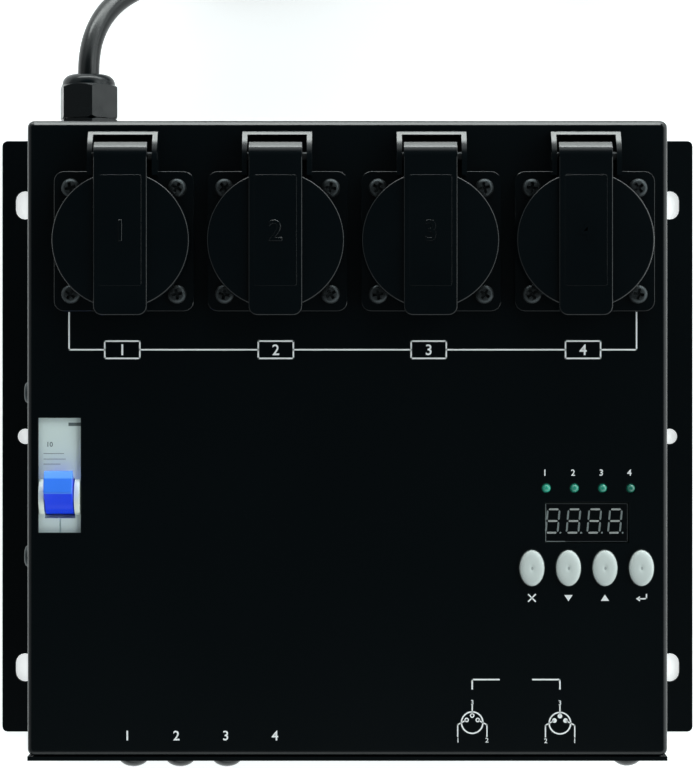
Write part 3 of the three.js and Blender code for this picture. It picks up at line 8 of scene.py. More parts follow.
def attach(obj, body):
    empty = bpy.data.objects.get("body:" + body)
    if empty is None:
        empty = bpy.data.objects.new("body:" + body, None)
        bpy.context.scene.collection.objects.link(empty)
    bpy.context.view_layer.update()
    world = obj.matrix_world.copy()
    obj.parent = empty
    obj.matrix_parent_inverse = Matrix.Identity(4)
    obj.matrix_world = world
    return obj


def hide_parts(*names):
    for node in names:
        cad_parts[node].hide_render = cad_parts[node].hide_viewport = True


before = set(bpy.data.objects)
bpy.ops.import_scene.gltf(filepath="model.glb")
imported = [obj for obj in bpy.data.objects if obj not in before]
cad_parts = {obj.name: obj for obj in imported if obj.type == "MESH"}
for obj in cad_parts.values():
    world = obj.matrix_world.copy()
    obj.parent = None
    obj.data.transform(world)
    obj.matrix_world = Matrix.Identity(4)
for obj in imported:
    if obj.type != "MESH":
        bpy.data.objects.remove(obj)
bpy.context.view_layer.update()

scene = bpy.context.scene
scene.view_settings.view_transform = "Standard"

# Shapes are drawn in millimetres and brought to metres when a piece is finished
MM = 0.001
FRONT = 85.0  # front face above the floor
WALL = 115.0  # side walls, top wall and connector panel from the middle
CHANNELS = (1, 2, 3, 4)
SOCKET_X = dict(zip(CHANNELS, (-80.0, -25.0, 30.0, 85.0)))
SOCKET_Y = 71.5
FUSE_X = dict(zip(CHANNELS, (-79.7, -62.3, -44.9, -27.5)))
FUSE_Z = dict(zip(CHANNELS, (46.0, 46.0, 46.0, 22.0)))
BUTTON_X = dict(zip(CHANNELS, (66.25, 79.35, 92.45, 105.55)))
BUTTON_Y = -45.65
LIGHT_X = dict(zip(CHANNELS, (71.5, 81.6, 91.7, 101.8)))
LIGHT_Y = -17.0


# Camera: straight above the front face, as the photograph was taken
LENS, SENSOR = 128.1, 36.0  # millimetres
CAMERA_PLACE = (0.0004, 0.0204, 1.066)


def make_camera():
    lens = bpy.data.cameras.new("camera")
    lens.lens, lens.sensor_width = LENS, SENSOR
    camera = bpy.data.objects.new("camera", lens)
    camera.location = CAMERA_PLACE
    scene.collection.objects.link(camera)
    scene.camera = camera


make_camera()


# Node helpers. Each value is a constant number or the socket that feeds the input
def math_node(tree, operation, *values):
    node = tree.nodes.new("ShaderNodeMath")
    node.operation = operation
    for entry, value in zip(node.inputs, values):
        if isinstance(value, float):
            entry.default_value = value
        else:
            tree.links.new(value, entry)
    return node.outputs[0]


def set_inputs(node, values):
    for name, value in values.items():
        node.inputs[name].default_value = value


# Finishes. One group gives a surface its fine unevenness: colour, roughness and height
def fine_surface_group():
    group = bpy.data.node_groups.new("fine_surface", "ShaderNodeTree")
    face = group.interface
    face.new_socket(name="Colour", in_out="INPUT", socket_type="NodeSocketColor")
    for name, value in (
        ("Colour Spread", 0.1),
        ("Roughness", 0.5),
        ("Roughness Spread", 0.1),
        ("Grain Scale", 1500.0),
        ("Cloud Scale", 40.0),
    ):
        socket = face.new_socket(name=name, in_out="INPUT", socket_type="NodeSocketFloat")
        socket.default_value = value
    face.new_socket(name="Colour", in_out="OUTPUT", socket_type="NodeSocketColor")
    face.new_socket(name="Roughness", in_out="OUTPUT", socket_type="NodeSocketFloat")
    face.new_socket(name="Height", in_out="OUTPUT", socket_type="NodeSocketFloat")
    nodes, links = group.nodes, group.links
    entry = nodes.new("NodeGroupInput")
    exit_ = nodes.new("NodeGroupOutput")
    place = nodes.new("ShaderNodeTexCoord")

    def noise(scale, detail):
        texture = nodes.new("ShaderNodeTexNoise")
        texture.inputs["Detail"].default_value = detail
        links.new(place.outputs["Object"], texture.inputs["Vector"])
        links.new(entry.outputs[scale], texture.inputs["Scale"])
        return texture.outputs["Fac"]

    links.new(noise("Grain Scale", 3.0), exit_.inputs["Height"])
    cloud = math_node(group, "SUBTRACT", noise("Cloud Scale", 2.0), 0.5)

    def clouded(amount, middle):
        return math_node(group, "MULTIPLY_ADD", cloud, entry.outputs[amount], middle)

    tint = nodes.new("ShaderNodeHueSaturation")
    links.new(clouded("Colour Spread", 1.0), tint.inputs["Value"])
    links.new(entry.outputs["Colour"], tint.inputs["Color"])
    links.new(tint.outputs["Color"], exit_.inputs["Colour"])
    rough = clouded("Roughness Spread", entry.outputs["Roughness"])
    links.new(rough, exit_.inputs["Roughness"])
    return group


FINE_SURFACE = fine_surface_group()
COAT_ROUGHNESS = 0.08


def make_finish(
    name, colour, roughness, metallic=0.0, specular=0.5, spread=0.15, rough_spread=0.12,
    grain=1500.0, cloud=40.0, bump=0.1, relief=0.05, coat=0.0, glow=None, transmission=0.0,
):
    material = bpy.data.materials.new(name)
    material.use_nodes = True
    nodes, links = material.node_tree.nodes, material.node_tree.links
    shader = nodes["Principled BSDF"]
    set_inputs(shader, {
        "Metallic": metallic,
        "Specular IOR Level": specular,
        "Coat Weight": coat,
        "Coat Roughness": COAT_ROUGHNESS,
        "Transmission Weight": transmission,
    })
    surface = nodes.new("ShaderNodeGroup")
    surface.node_tree = FINE_SURFACE
    set_inputs(surface, {
        "Colour": (*colour, 1.0),
        "Colour Spread": spread,
        "Roughness": roughness,
        "Roughness Spread": rough_spread,
        "Grain Scale": grain,
        "Cloud Scale": cloud,
    })
    links.new(surface.outputs["Colour"], shader.inputs["Base Color"])
    links.new(surface.outputs["Roughness"], shader.inputs["Roughness"])
    if bump:
        bumps = nodes.new("ShaderNodeBump")
        set_inputs(bumps, {"Strength": bump, "Distance": relief * MM})
        links.new(surface.outputs["Height"], bumps.inputs["Height"])
        links.new(bumps.outputs["Normal"], shader.inputs["Normal"])
    if glow:
        shine, strength = glow
        set_inputs(shader, {"Emission Color": (*shine, 1.0), "Emission Strength": strength})
    return material


def lever_finish(name, colour):
    return make_finish(
        name, colour, 0.3, specular=0.3,
        spread=0.08, grain=2500.0, cloud=140.0, bump=0.08, relief=0.03, coat=0.08,
    )


POWDER_COAT = make_finish(
    "black_powder_coat", (0.0004, 0.0019, 0.0027), 0.25, specular=0.35,
    spread=0.35, rough_spread=0.05, grain=1300.0, cloud=9.0, bump=0.15, relief=0.04,
)
SOCKET_PLASTIC = make_finish(
    "black_socket_plastic", (0.0004, 0.0019, 0.0028), 0.22, specular=0.45,
    spread=0.3, rough_spread=0.06, grain=2600.0, cloud=30.0, bump=0.1, relief=0.03,
)
GLAND_PLASTIC = make_finish(
    "black_gland_plastic", (0.0006, 0.0026, 0.0036), 0.24, specular=0.26,
    spread=0.4, rough_spread=0.25, grain=1400.0, cloud=160.0, bump=0.25, relief=0.06,
)
CORD_RUBBER = make_finish(
    "black_cord_rubber", (0.0016, 0.0030, 0.0036), 0.28, specular=0.38,
    spread=0.3, rough_spread=0.2, grain=1100.0, cloud=60.0, bump=0.15, relief=0.05,
)
PLUG_RUBBER = make_finish(
    "black_plug_rubber", (0.0040, 0.0054, 0.0060), 0.48, specular=0.45,
    spread=0.3, grain=1800.0, cloud=60.0, bump=0.25, relief=0.05,
)
TIE_CLOTH = make_finish(
    "black_tie_band", (0.012, 0.013, 0.014), 0.85,
    spread=0.5, grain=1600.0, cloud=500.0, bump=0.8, relief=0.25,
)
BREAKER_PLASTIC = make_finish(
    "pale_breaker_plastic", (0.74, 0.86, 0.83), 0.42,
    spread=0.06, grain=2200.0, cloud=90.0, bump=0.12, relief=0.03,
)
CHEEK_PLASTIC = make_finish(
    "ivory_cheek_plastic", (0.80, 0.88, 0.80), 0.4,
    spread=0.06, grain=2200.0, cloud=120.0, bump=0.1, relief=0.03,
)
# The lever is one blue plastic. The lighter blue and the palest blue are painted light on its upper
# faces and tip strip, where the lamps fall
LEVER_BLUE = lever_finish("blue_lever_plastic", (0.003, 0.055, 0.98))
LEVER_PAINTED_LIGHT_BLUE = lever_finish("blue_lever_painted_light", (0.045, 0.22, 0.98))
LEVER_PAINTED_HIGHLIGHT_BLUE = lever_finish("blue_lever_painted_highlight", (0.085, 0.31, 0.96))
BUTTON_PLASTIC = make_finish(
    "pale_button_plastic", (0.58, 0.64, 0.62), 0.5,
    spread=0.07, grain=1900.0, cloud=220.0, bump=0.3, relief=0.04,
)
# darker grey in the buttons' dimples: painted shade in the hollow
DIMPLE_PAINTED_SHADE = make_finish(
    "button_dimple_painted_shade", (0.32, 0.36, 0.36), 0.6,
    spread=0.1, grain=1900.0, cloud=220.0, bump=0.3, relief=0.04,
)
DISPLAY_GLASS = make_finish(
    "smoked_display_face", (0.0012, 0.0022, 0.0028), 0.14,
    spread=0.3, rough_spread=0.08, grain=900.0, bump=0.0, coat=0.3,
)
SEGMENT_GREY = make_finish(
    "unlit_display_segments", (0.31, 0.33, 0.32), 0.5,
    spread=0.25, grain=2500.0, cloud=500.0, bump=0.05,
)
# dim grey of the upright segments, also used for the painted highlight strips on the display
# window's rim
SEGMENT_DIM_AND_PAINTED_RIM_HIGHLIGHT = make_finish(
    "unlit_upright_segments_and_painted_rim_highlight", (0.17, 0.20, 0.20), 0.5,
    spread=0.3, grain=2500.0, cloud=500.0, bump=0.05,
)
# grey for the display window's rim lines: a painted sheen along its edges
WINDOW_RIM_PAINTED_SHEEN = make_finish(
    "display_window_rim_painted_sheen", (0.026, 0.031, 0.033), 0.4,
    spread=0.6, grain=2500.0, cloud=260.0, bump=0.1,
)
LIGHT_GREEN = {
    channel: make_finish(
        f"green_status_lens_{channel}",
        (0.03 * share, 0.38 * share, 0.26 * share), 0.16,
        spread=0.1, grain=900.0, bump=0.0, coat=0.5, glow=((0.03, 0.5, 0.34), 0.1 * share),
    )
    for channel, share in zip(CHANNELS, (0.85, 0.68, 0.62, 0.38))
}
BREAKER_PRINT = make_finish(
    "grey_breaker_print", (0.12, 0.16, 0.16), 0.6,
    spread=0.3, grain=3000.0, cloud=400.0, bump=0.1, relief=0.02,
)
WHITE_PRINT = make_finish(
    "white_print", (0.88, 0.90, 0.90), 0.55,
    spread=0.05, grain=3000.0, cloud=400.0, bump=0.1, relief=0.02,
)
DARK_SCREW = make_finish(
    "blackened_screw", (0.045, 0.052, 0.055), 0.46, metallic=0.9,
    spread=0.6, rough_spread=0.4, grain=2600.0, cloud=900.0, bump=0.35, relief=0.03,
)
# painted shade: the hinge pins are coloured near black, as dark as the shaded gap they sit in
DARK_PIN = make_finish(
    "near_black_hinge_pin", (0.008, 0.010, 0.011), 0.4, metallic=0.5,
    spread=0.4, rough_spread=0.2, grain=2600.0, cloud=600.0, bump=0.2, relief=0.02,
)
ZINC = make_finish(
    "zinc_plated_steel", (0.50, 0.52, 0.52), 0.32, metallic=1.0,
    spread=0.2, rough_spread=0.25, grain=1500.0, cloud=120.0, bump=0.15, relief=0.03,
)
NICKEL = make_finish(
    "nickel_plated_brass", (0.62, 0.60, 0.54), 0.22, metallic=1.0,
    spread=0.1, rough_spread=0.15, grain=1500.0, cloud=150.0, bump=0.08, relief=0.02,
)
CLIP_BRASS = make_finish(
    "earth_clip_brass", (0.55, 0.38, 0.12), 0.3, metallic=1.0,
    spread=0.2, rough_spread=0.2, grain=1500.0, cloud=150.0, bump=0.1, relief=0.02,
)
BOARD_GREEN = make_finish(
    "green_circuit_board", (0.012, 0.10, 0.036), 0.45,
    spread=0.3, grain=900.0, cloud=140.0, bump=0.15, relief=0.05, coat=0.2,
)
SINK_METAL = make_finish(
    "heat_sink_aluminium", (0.40, 0.42, 0.43), 0.38, metallic=1.0,
    spread=0.15, rough_spread=0.2, grain=1200.0, cloud=90.0, bump=0.2, relief=0.04,
)
CHOKE_COPPER = make_finish(
    "choke_winding_copper", (0.40, 0.14, 0.05), 0.35, metallic=0.6,
    spread=0.4, grain=700.0, cloud=300.0, bump=0.6, relief=0.3,
)
CORE_STEEL = make_finish(
    "transformer_core_steel", (0.09, 0.095, 0.10), 0.5, metallic=0.5,
    spread=0.3, grain=900.0, cloud=200.0, bump=0.4, relief=0.1,
)
FUSE_GLASS = make_finish(
    "fuse_link_glass", (0.80, 0.84, 0.84), 0.08,
    spread=0.05, grain=900.0, bump=0.0, transmission=0.6,
)


# Drawing helpers
MERGE, ON_CUT = 1e-4, 1e-5  # points this near are one, or lie on a cutting plane
CAD_MERGE, CAD_FLAT = 2e-3, math.radians(0.6)  # the same for the CAD's points and flat faces


def rounded(width, height, radius, steps, x, y):
    points = []
    corners = ((1, -1, -90), (1, 1, 0), (-1, 1, 90), (-1, -1, 180))
    for side, end, start in corners:
        cx = x + side * (width / 2 - radius)
        cy = y + end * (height / 2 - radius)
        for step in range(steps + 1):
            angle = math.radians(start + 90.0 * step / steps)
            points.append((cx + radius * math.cos(angle), cy + radius * math.sin(angle)))
    return points


def ring(radius, steps, x=0.0, y=0.0):
    angles = [math.tau * step / steps for step in range(steps)]
    return [(x + radius * math.cos(angle), y + radius * math.sin(angle)) for angle in angles]


def bevelled(form, edges, width, segments):
    if edges:
        bmesh.ops.bevel(
            form, geom=edges, offset=width, segments=segments, profile=0.5, affect="EDGES",
            material=-1, clamp_overlap=True,
        )
    return form


def soften(form, width, segments, degrees=40.0, wanted=None):
    # bevels the edges that are wanted and turn by more than this many degrees
    edges = [
        edge
        for edge in form.edges
        if len(edge.link_faces) == 2
        and edge.calc_face_angle(0.0) > math.radians(degrees)
        and (wanted is None or wanted(edge))
    ]
    return bevelled(form, edges, width, segments)


def above(height):
    return lambda edge: all(vert.co.z > height for vert in edge.verts)


def of_kind(items, kind):
    return [item for item in items if isinstance(item, kind)]


def slab(outline, low, high):
    form = bmesh.new()
    face = form.faces.new([form.verts.new((x, y, low)) for x, y in outline])
    grown = bmesh.ops.extrude_face_region(form, geom=[face])["geom"]
    moved = of_kind(grown, bmesh.types.BMVert)
    bmesh.ops.translate(form, vec=(0.0, 0.0, high - low), verts=moved)
    bmesh.ops.recalc_face_normals(form, faces=form.faces)
    return form


def cuboid(x0, x1, y0, y1, z0, z1):
    form = bmesh.new()
    middle = Vector(((x0 + x1) / 2, (y0 + y1) / 2, (z0 + z1) / 2))
    size = Matrix.Diagonal((x1 - x0, y1 - y0, z1 - z0, 1.0))
    bmesh.ops.create_cube(form, size=1.0, matrix=Matrix.Translation(middle) @ size)
    return form


def turned(outline, sides):
    # outline: (radius, height) pairs. The spin meets its own start again
    form = bmesh.new()
    verts = [form.verts.new((radius, 0.0, height)) for radius, height in outline]
    edges = [form.edges.new(pair) for pair in zip(verts, verts[1:])]
    bmesh.ops.spin(
        form, geom=verts + edges, cent=(0.0, 0.0, 0.0), axis=(0.0, 0.0, 1.0), angle=math.tau,
        steps=sides, use_merge=True,
    )
    bmesh.ops.remove_doubles(form, verts=form.verts, dist=MERGE)
    bmesh.ops.recalc_face_normals(form, faces=form.faces)
    return form


def turned_loop(outline, sides):
    return turned([*outline, outline[0]], sides)


def in_second_finish(faces):
    for face in faces:
        face.material_index = 1


def shift(x, y, z):
    return Matrix.Translation((x, y, z))


def placed(form, matrix):
    bmesh.ops.transform(form, matrix=matrix, verts=form.verts)
    return form


def together(*forms):
    whole = bmesh.new()
    for form in forms:
        holder = bpy.data.meshes.new("holder")
        form.to_mesh(holder)
        form.free()
        whole.from_mesh(holder)
        bpy.data.meshes.remove(holder)
    return whole


def copy_of(node):
    # the CAD's piece in millimetres, with its flat faces in one piece again
    form = bmesh.new()
    form.from_mesh(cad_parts[node].data)
    bmesh.ops.scale(form, vec=(1 / MM,) * 3, verts=form.verts)
    bmesh.ops.remove_doubles(form, verts=form.verts, dist=CAD_MERGE)
    bmesh.ops.dissolve_limit(
        form, angle_limit=CAD_FLAT, verts=form.verts, edges=form.edges, delimit={"NORMAL"}
    )
    return form


def finished(name, form, finish, body="enclosure", stands_for=(), sharp=32.0):
    # edges that turn by more than sharp degrees are shaded as edges, all others as round
    finishes = finish if isinstance(finish, list) else [finish]
    bmesh.ops.scale(form, vec=(MM,) * 3, verts=form.verts)
    form.normal_update()
    for face in form.faces:
        face.smooth = True
    for edge in form.edges:
        paired = len(edge.link_faces) == 2
        edge.smooth = paired and edge.calc_face_angle(0.0) < math.radians(sharp)
    mesh = bpy.data.meshes.new(name)
    form.to_mesh(mesh)
    form.free()
    for material in finishes:
        mesh.materials.append(material)
    piece = bpy.data.objects.new(name, mesh)
    scene.collection.objects.link(piece)
    weighted = piece.modifiers.new("weighted_normals", "WEIGHTED_NORMAL")
    weighted.keep_sharp = True
    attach(piece, body)
    if stands_for:
        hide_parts(*stands_for)
    return piece


# Places on the case's faces, with the face's outward way as Z
def on_front(x, y):
    return shift(x, y, FRONT)


def on_panel(x, z):
    return shift(x, -WALL, z) @ Matrix.Rotation(math.pi / 2, 4, "X")


def on_top(x, z):
    return shift(x, WALL, z) @ Matrix.Rotation(-math.pi / 2, 4, "X")


def on_left(y, z):
    return shift(-WALL, y, z) @ Matrix.Rotation(-math.pi / 2, 4, "Y")


ALONG_X = Matrix.Rotation(math.pi / 2, 4, "Y")


# Mains lead: one line from the gland through the coil to the plug
LEAD_ROUTE = [
    (-96.65, 133.0, 45.7), (-96.65, 136.8, 45.4), (-96.5, 141.6, 44.5), (-95.9, 147.3, 42.3),
    (-94.6, 152.6, 39.4), (-92.7, 157.5, 36.0), (-90.1, 162.0, 32.2), (-86.8, 165.9, 28.2),
    (-82.9, 169.3, 24.3), (-78.5, 172.2, 20.8), (-73.7, 174.6, 17.5), (-68.6, 176.6, 14.7),
    (-62.1, 178.5, 11.8), (-55.0, 180.0, 9.3), (-47.8, 181.0, 7.3), (-41.0, 181.6, 5.8),
    (-34.5, 181.95, 4.6),
]
TAIL_ROUTE = [
    (12.9, 190.1, 12.7), (20.2, 192.2, 11.4), (27.6, 194.0, 9.2), (35.0, 195.4, 6.9),
    (42.5, 196.5, 5.2), (50.0, 197.3, 4.4), (56.0, 197.7, 4.5), (62.0, 197.95, 5.3),
    (68.0, 198.0, 6.1), (71.0, 198.0, 6.2), (75.5, 198.0, 6.2),
]
CORD_RADIUS = 4.0
COIL_X, COIL_Y, COIL_Z = -20.0, 233.0, 4.2  # middle of the coil, axis of its lower layer
COIL_INNER = 33.4  # innermost radius, where the lead changes its layer
COIL_PITCH = 8.6  # between loops, and between the layers
LAYER_LOOPS = 2
COIL_OVERRUN = math.pi / 9  # turn past the full loops, towards the plug
REVERSAL = 0.3  # radians over which the loops stop closing in and open out
COIL_POINTS = 150
STEPS_BETWEEN = 3  # drawn points for each point of the route


def coil_point(turn):
    layer = LAYER_LOOPS * math.tau
    radius = COIL_INNER + COIL_PITCH * math.hypot(turn - layer, REVERSAL) / math.tau
    share = min(max((turn - layer) / math.pi + 0.5, 0.0), 1.0)
    rise = share * share * (3.0 - 2.0 * share)
    angle = turn - math.pi / 2
    return (
        COIL_X + radius * math.cos(angle),
        COIL_Y + radius * math.sin(angle),
        COIL_Z + COIL_PITCH * rise,
    )


def eased(points, steps):
    route = [Vector(point) for point in points]
    route = [2 * route[0] - route[1], *route, 2 * route[-1] - route[-2]]
    out = []
    for before, start, end, after in zip(route, route[1:], route[2:], route[3:]):
        for step in range(steps):
            t = step / steps
            out.append(0.5 * (
                2 * start
                + (end - before) * t
                + (2 * before - 5 * start + 4 * end - after) * t * t
                + (3 * start - before - 3 * end + after) * t * t * t
            ))
    out.append(route[-2])
    return out


def mains_lead():
    total = 2 * LAYER_LOOPS * math.tau + COIL_OVERRUN
    loops = [coil_point(total * step / COIL_POINTS) for step in range(COIL_POINTS + 1)]
    route = eased([*LEAD_ROUTE, *loops, *TAIL_ROUTE], STEPS_BETWEEN)
    curve = bpy.data.curves.new("mains_lead", "CURVE")
    curve.dimensions = "3D"
    curve.bevel_depth = CORD_RADIUS * MM
    curve.bevel_resolution = 6
    curve.use_fill_caps = True
    spline = curve.splines.new("POLY")
    spline.points.add(len(route) - 1)
    for point, place in zip(spline.points, route):
        point.co = (*(place * MM), 1.0)
    spline.use_smooth = True
    curve.materials.append(CORD_RUBBER)
    piece = bpy.data.objects.new("mains_lead", curve)
    scene.collection.objects.link(piece)
    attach(piece, "enclosure")
    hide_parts("mains_cord", "mains_cord_coil", "mains_cord_tail")
    length = sum((b - a).length for a, b in zip(route, route[1:])) * MM
    return piece, route[0] * MM, length


# Plug with its pins up. The neck lies on the floor, cut flat where it would sink in
PLUG_X, PLUG_Y = 112.8, 198.0
NECK_START = -38.5
NECK_Z, NECK_FLOOR = 6.2, 0.3
PIN_FROM_AXIS = 9.5
STRIP_FROM_AXIS, STRIP_HALF_THICK = 18.0, 0.4


def mains_plug():
    body = turned(
        [(0, 0.2), (16.8, 0.2), (18.0, 0.7), (18.5, 1.9), (18.5, 17.6), (18.1, 19.0),
         (17.0, 19.8), (15.2, 20.0), (14.6, 19.6), (0, 19.6)],
        72,
    )
    neck = turned(
        [(0, NECK_START), (4.7, NECK_START), (5.4, -38.0), (5.6, -36.0), (5.1, -35.4), (5.1, -34.0),
         (5.9, -33.4), (6.1, -31.6), (5.6, -31.0), (5.6, -29.6), (6.4, -29.0), (6.6, -27.2),
         (6.1, -26.6), (6.1, -25.2), (7.0, -24.4), (7.6, -19.0), (8.6, -14.0), (0, -12.0)],
        40,
    )
    placed(neck, shift(0, 0, NECK_Z) @ ALONG_X)
    for vert in neck.verts:
        vert.co.z = max(vert.co.z, NECK_FLOOR)
    whole = placed(together(body, neck), shift(PLUG_X, PLUG_Y, 0.0))
    plug = finished("mains_plug_body", whole, PLUG_RUBBER, stands_for=["mains_plug"], sharp=40.0)
    pins, strips = [], []
    for side in (-1, 1):
        pin = turned(
            [(0, 19.4), (2.4, 19.4), (2.4, 37.2), (2.1, 38.3), (1.3, 39.0), (0, 39.0)], 28
        )
        pins.append(placed(pin, shift(PLUG_X, PLUG_Y + side * PIN_FROM_AXIS, 0.0)))
        strip = soften(cuboid(-2.2, 2.2, 0.0, 2 * STRIP_HALF_THICK, 11.0, 20.1), 0.2, 3)
        y = PLUG_Y + side * STRIP_FROM_AXIS - STRIP_HALF_THICK
        strips.append(placed(strip, shift(PLUG_X, y, 0.0)))
    pins = finished("mains_plug_pins", together(*pins), NICKEL)
    strips = finished("mains_plug_earth_strips", together(*strips), NICKEL)
    return [plug, pins, strips]


# Closed band round the far side of the coil
TIE_FROM_MIDDLE = 42.0
TIE_WIDTH, TIE_HEIGHT, TIE_THICK = 19.2, 17.6, 0.9
TIE_BREADTH = 7.0
TIE_LIFT = 0.05
TIE_TURN = math.radians(62)


def cord_tie():
    form = bmesh.new()
    layers = []
    for across in (-TIE_BREADTH / 2, TIE_BREADTH / 2):
        for inset, corner in ((0.0, 4.6), (TIE_THICK, 3.8)):
            loop = rounded(
                TIE_WIDTH - 2 * inset, TIE_HEIGHT - 2 * inset, corner, 6,
                TIE_FROM_MIDDLE, TIE_HEIGHT / 2 + TIE_LIFT,
            )
            layers.append([form.verts.new((x, across, z)) for x, z in loop])
    for first, second in ((0, 1), (2, 3), (0, 2), (1, 3)):
        a, b = layers[first], layers[second]
        for i in range(len(a)):
            j = (i + 1) % len(a)
            form.faces.new((a[i], a[j], b[j], b[i]))
    bmesh.ops.recalc_face_normals(form, faces=form.faces)
    soften(form, 0.25, 2, 60.0)
    turn = shift(COIL_X, COIL_Y, 0.0) @ Matrix.Rotation(TIE_TURN, 4, "Z")
    return finished("cord_tie", placed(form, turn), TIE_CLOTH)


lead, lead_exit, lead_length = mains_lead()
plug_pieces = mains_plug()
tie = cord_tie()


# Printed lines and numbers on the front
PRINT_LOW, PRINT_HIGH = FRONT + 0.005, FRONT + 0.04
NUMBER_WEIGHT = 0.012


def line(x0, y0, x1, y1, width=0.55):
    start, end = Vector((x0, y0)), Vector((x1, y1))
    along = (end - start).normalized() * width / 2
    across = Vector((-along.y, along.x))
    a, b = start - along, end + along
    corners = (a - across, b - across, b + across, a + across)
    return slab([tuple(corner) for corner in corners], PRINT_LOW, PRINT_HIGH)


def lines(points, width=0.55):
    return [line(*start, *end, width) for start, end in zip(points, points[1:])]


def circle_line(x, y, radius, width, sides):
    inner, outer = radius - width / 2, radius + width / 2
    section = [(inner, PRINT_LOW), (outer, PRINT_LOW), (outer, PRINT_HIGH), (inner, PRINT_HIGH)]
    return placed(turned_loop(section, sides), shift(x, y, 0))


def dot(x, y, radius):
    return slab(ring(radius, 20, x, y), PRINT_LOW, PRINT_HIGH)


def number(text, x, y, height):
    curve = bpy.data.curves.new("number", "FONT")
    curve.body = text
    curve.align_x = "CENTER"
    curve.offset = NUMBER_WEIGHT
    curve.resolution_u = 4
    sign = bpy.data.objects.new("number", curve)
    scene.collection.objects.link(sign)
    depsgraph = bpy.context.evaluated_depsgraph_get()
    flat = bpy.data.meshes.new_from_object(sign.evaluated_get(depsgraph))
    form = bmesh.new()
    form.from_mesh(flat)
    bpy.data.objects.remove(sign)
    bpy.data.curves.remove(curve)
    bpy.data.meshes.remove(flat)
    xs = [vert.co.x for vert in form.verts]
    ys = [vert.co.y for vert in form.verts]
    scale = height / (max(ys) - min(ys))
    middle = Vector(((max(xs) + min(xs)) / 2, (max(ys) + min(ys)) / 2, 0.0))
    bmesh.ops.translate(form, vec=-middle, verts=form.verts)
    bmesh.ops.scale(form, vec=(scale, scale, 1.0), verts=form.verts)
    bmesh.ops.translate(form, vec=(x, y, PRINT_LOW), verts=form.verts)
    grown = bmesh.ops.extrude_face_region(form, geom=list(form.faces))["geom"]
    moved = of_kind(grown, bmesh.types.BMVert)
    bmesh.ops.translate(form, vec=(0, 0, PRINT_HIGH - PRINT_LOW), verts=moved)
    bmesh.ops.recalc_face_normals(form, faces=form.faces)
    return form


def box_line(x, y, width, height):
    left, right, low, high = x - width / 2, x + width / 2, y - height / 2, y + height / 2
    return lines([(left, low), (right, low), (right, high), (left, high), (left, low)])


def signal_diagram(x, y, filled, left_number, right_number):
    # contact face of a three-pin socket, with a numbered lead to each pin
    marks = [circle_line(x, y, 3.85, 0.52, 48)]
    for px, py in ((x - 2.0, y + 0.95), (x + 2.0, y + 0.95), (x, y + 2.55)):
        marks.append(dot(px, py, 0.85) if filled else circle_line(px, py, 0.62, 0.42, 20))
    marks += [
        line(x, y + 3.3, x, y + 6.2, 0.45),
        *lines([(x - 2.4, y + 0.75), (x - 5.2, y - 0.75), (x - 5.2, y - 4.9)], 0.45),
        *lines([(x + 2.4, y + 0.75), (x + 5.3, y - 0.75), (x + 5.3, y - 4.9)], 0.45),
        number("3", x, y + 7.3, 1.7),
        number(left_number, x - 5.1, y - 6.3, 1.7),
        number(right_number, x + 5.3, y - 6.3, 1.7),
    ]
    return marks


def arrow(x, y, size, direction):
    foot, tip = y - direction * size * 0.7, y + direction * size * 0.8
    points = [(x - size, foot), (x + size, foot), (x, tip)]
    return slab(points[::direction], PRINT_LOW, PRINT_HIGH)


# Case. Along the top wall the sheet is bent in a flatter slope than the CAD's round bend. Each
# row has a corner of the round bend (y, z from its start), its new place, and the width of the
# softened crease there
BEND_START_Y, BEND_START_Z = WALL - 2.0, FRONT - 2.0
BEND_LENGTH = 100.0  # its edges are longer than this
TOP_BEND = (
    ((0.0, 2.0), (0.32, 2.0), 0.2),
    ((1.0, 1.732), (1.49, 1.07), 0.12),
    ((1.732, 1.0), (1.88, 0.42), 0.0),
)


def in_bend(vert, y, z, reach):
    away_y, away_z = vert.co.y - BEND_START_Y - y, vert.co.z - BEND_START_Z - z
    return max(abs(away_y), abs(away_z)) < reach


def flatten_top_bend(cover):
    for (y, z), (new_y, new_z), _ in TOP_BEND:
        for vert in [vert for vert in cover.verts if in_bend(vert, y, z, 0.02)]:
            vert.co.y, vert.co.z = BEND_START_Y + new_y, BEND_START_Z + new_z
    for _, (y, z), width in TOP_BEND:
        if width:
            creases = [
                edge
                for edge in cover.edges
                if edge.calc_length() > BEND_LENGTH
                and all(in_bend(vert, y, z, 0.01) for vert in edge.verts)
            ]
            bevelled(cover, creases, width, 3)


def case():
    cover = copy_of("front_cover")
    flatten_top_bend(cover)
    soften(cover, 0.25, 2, 60.0, above(FRONT - 0.01))
    finished("cover_shell", cover, POWDER_COAT, stands_for=["front_cover"])
    finished("chassis_sheet", copy_of("rear_chassis"), POWDER_COAT, stands_for=["rear_chassis"])


case()


# Pan head screws with a cross recess, in shares of the head's radius and height
FLAT_RADIUS = 0.66
RECESS_DEPTH, RECESS_TAPER = 0.62, 0.72
HEAD_ROUND = ((0.84, 0.13), (0.95, 0.36), (1.0, 0.66), (1.0, 1.0))  # (radius, way down)


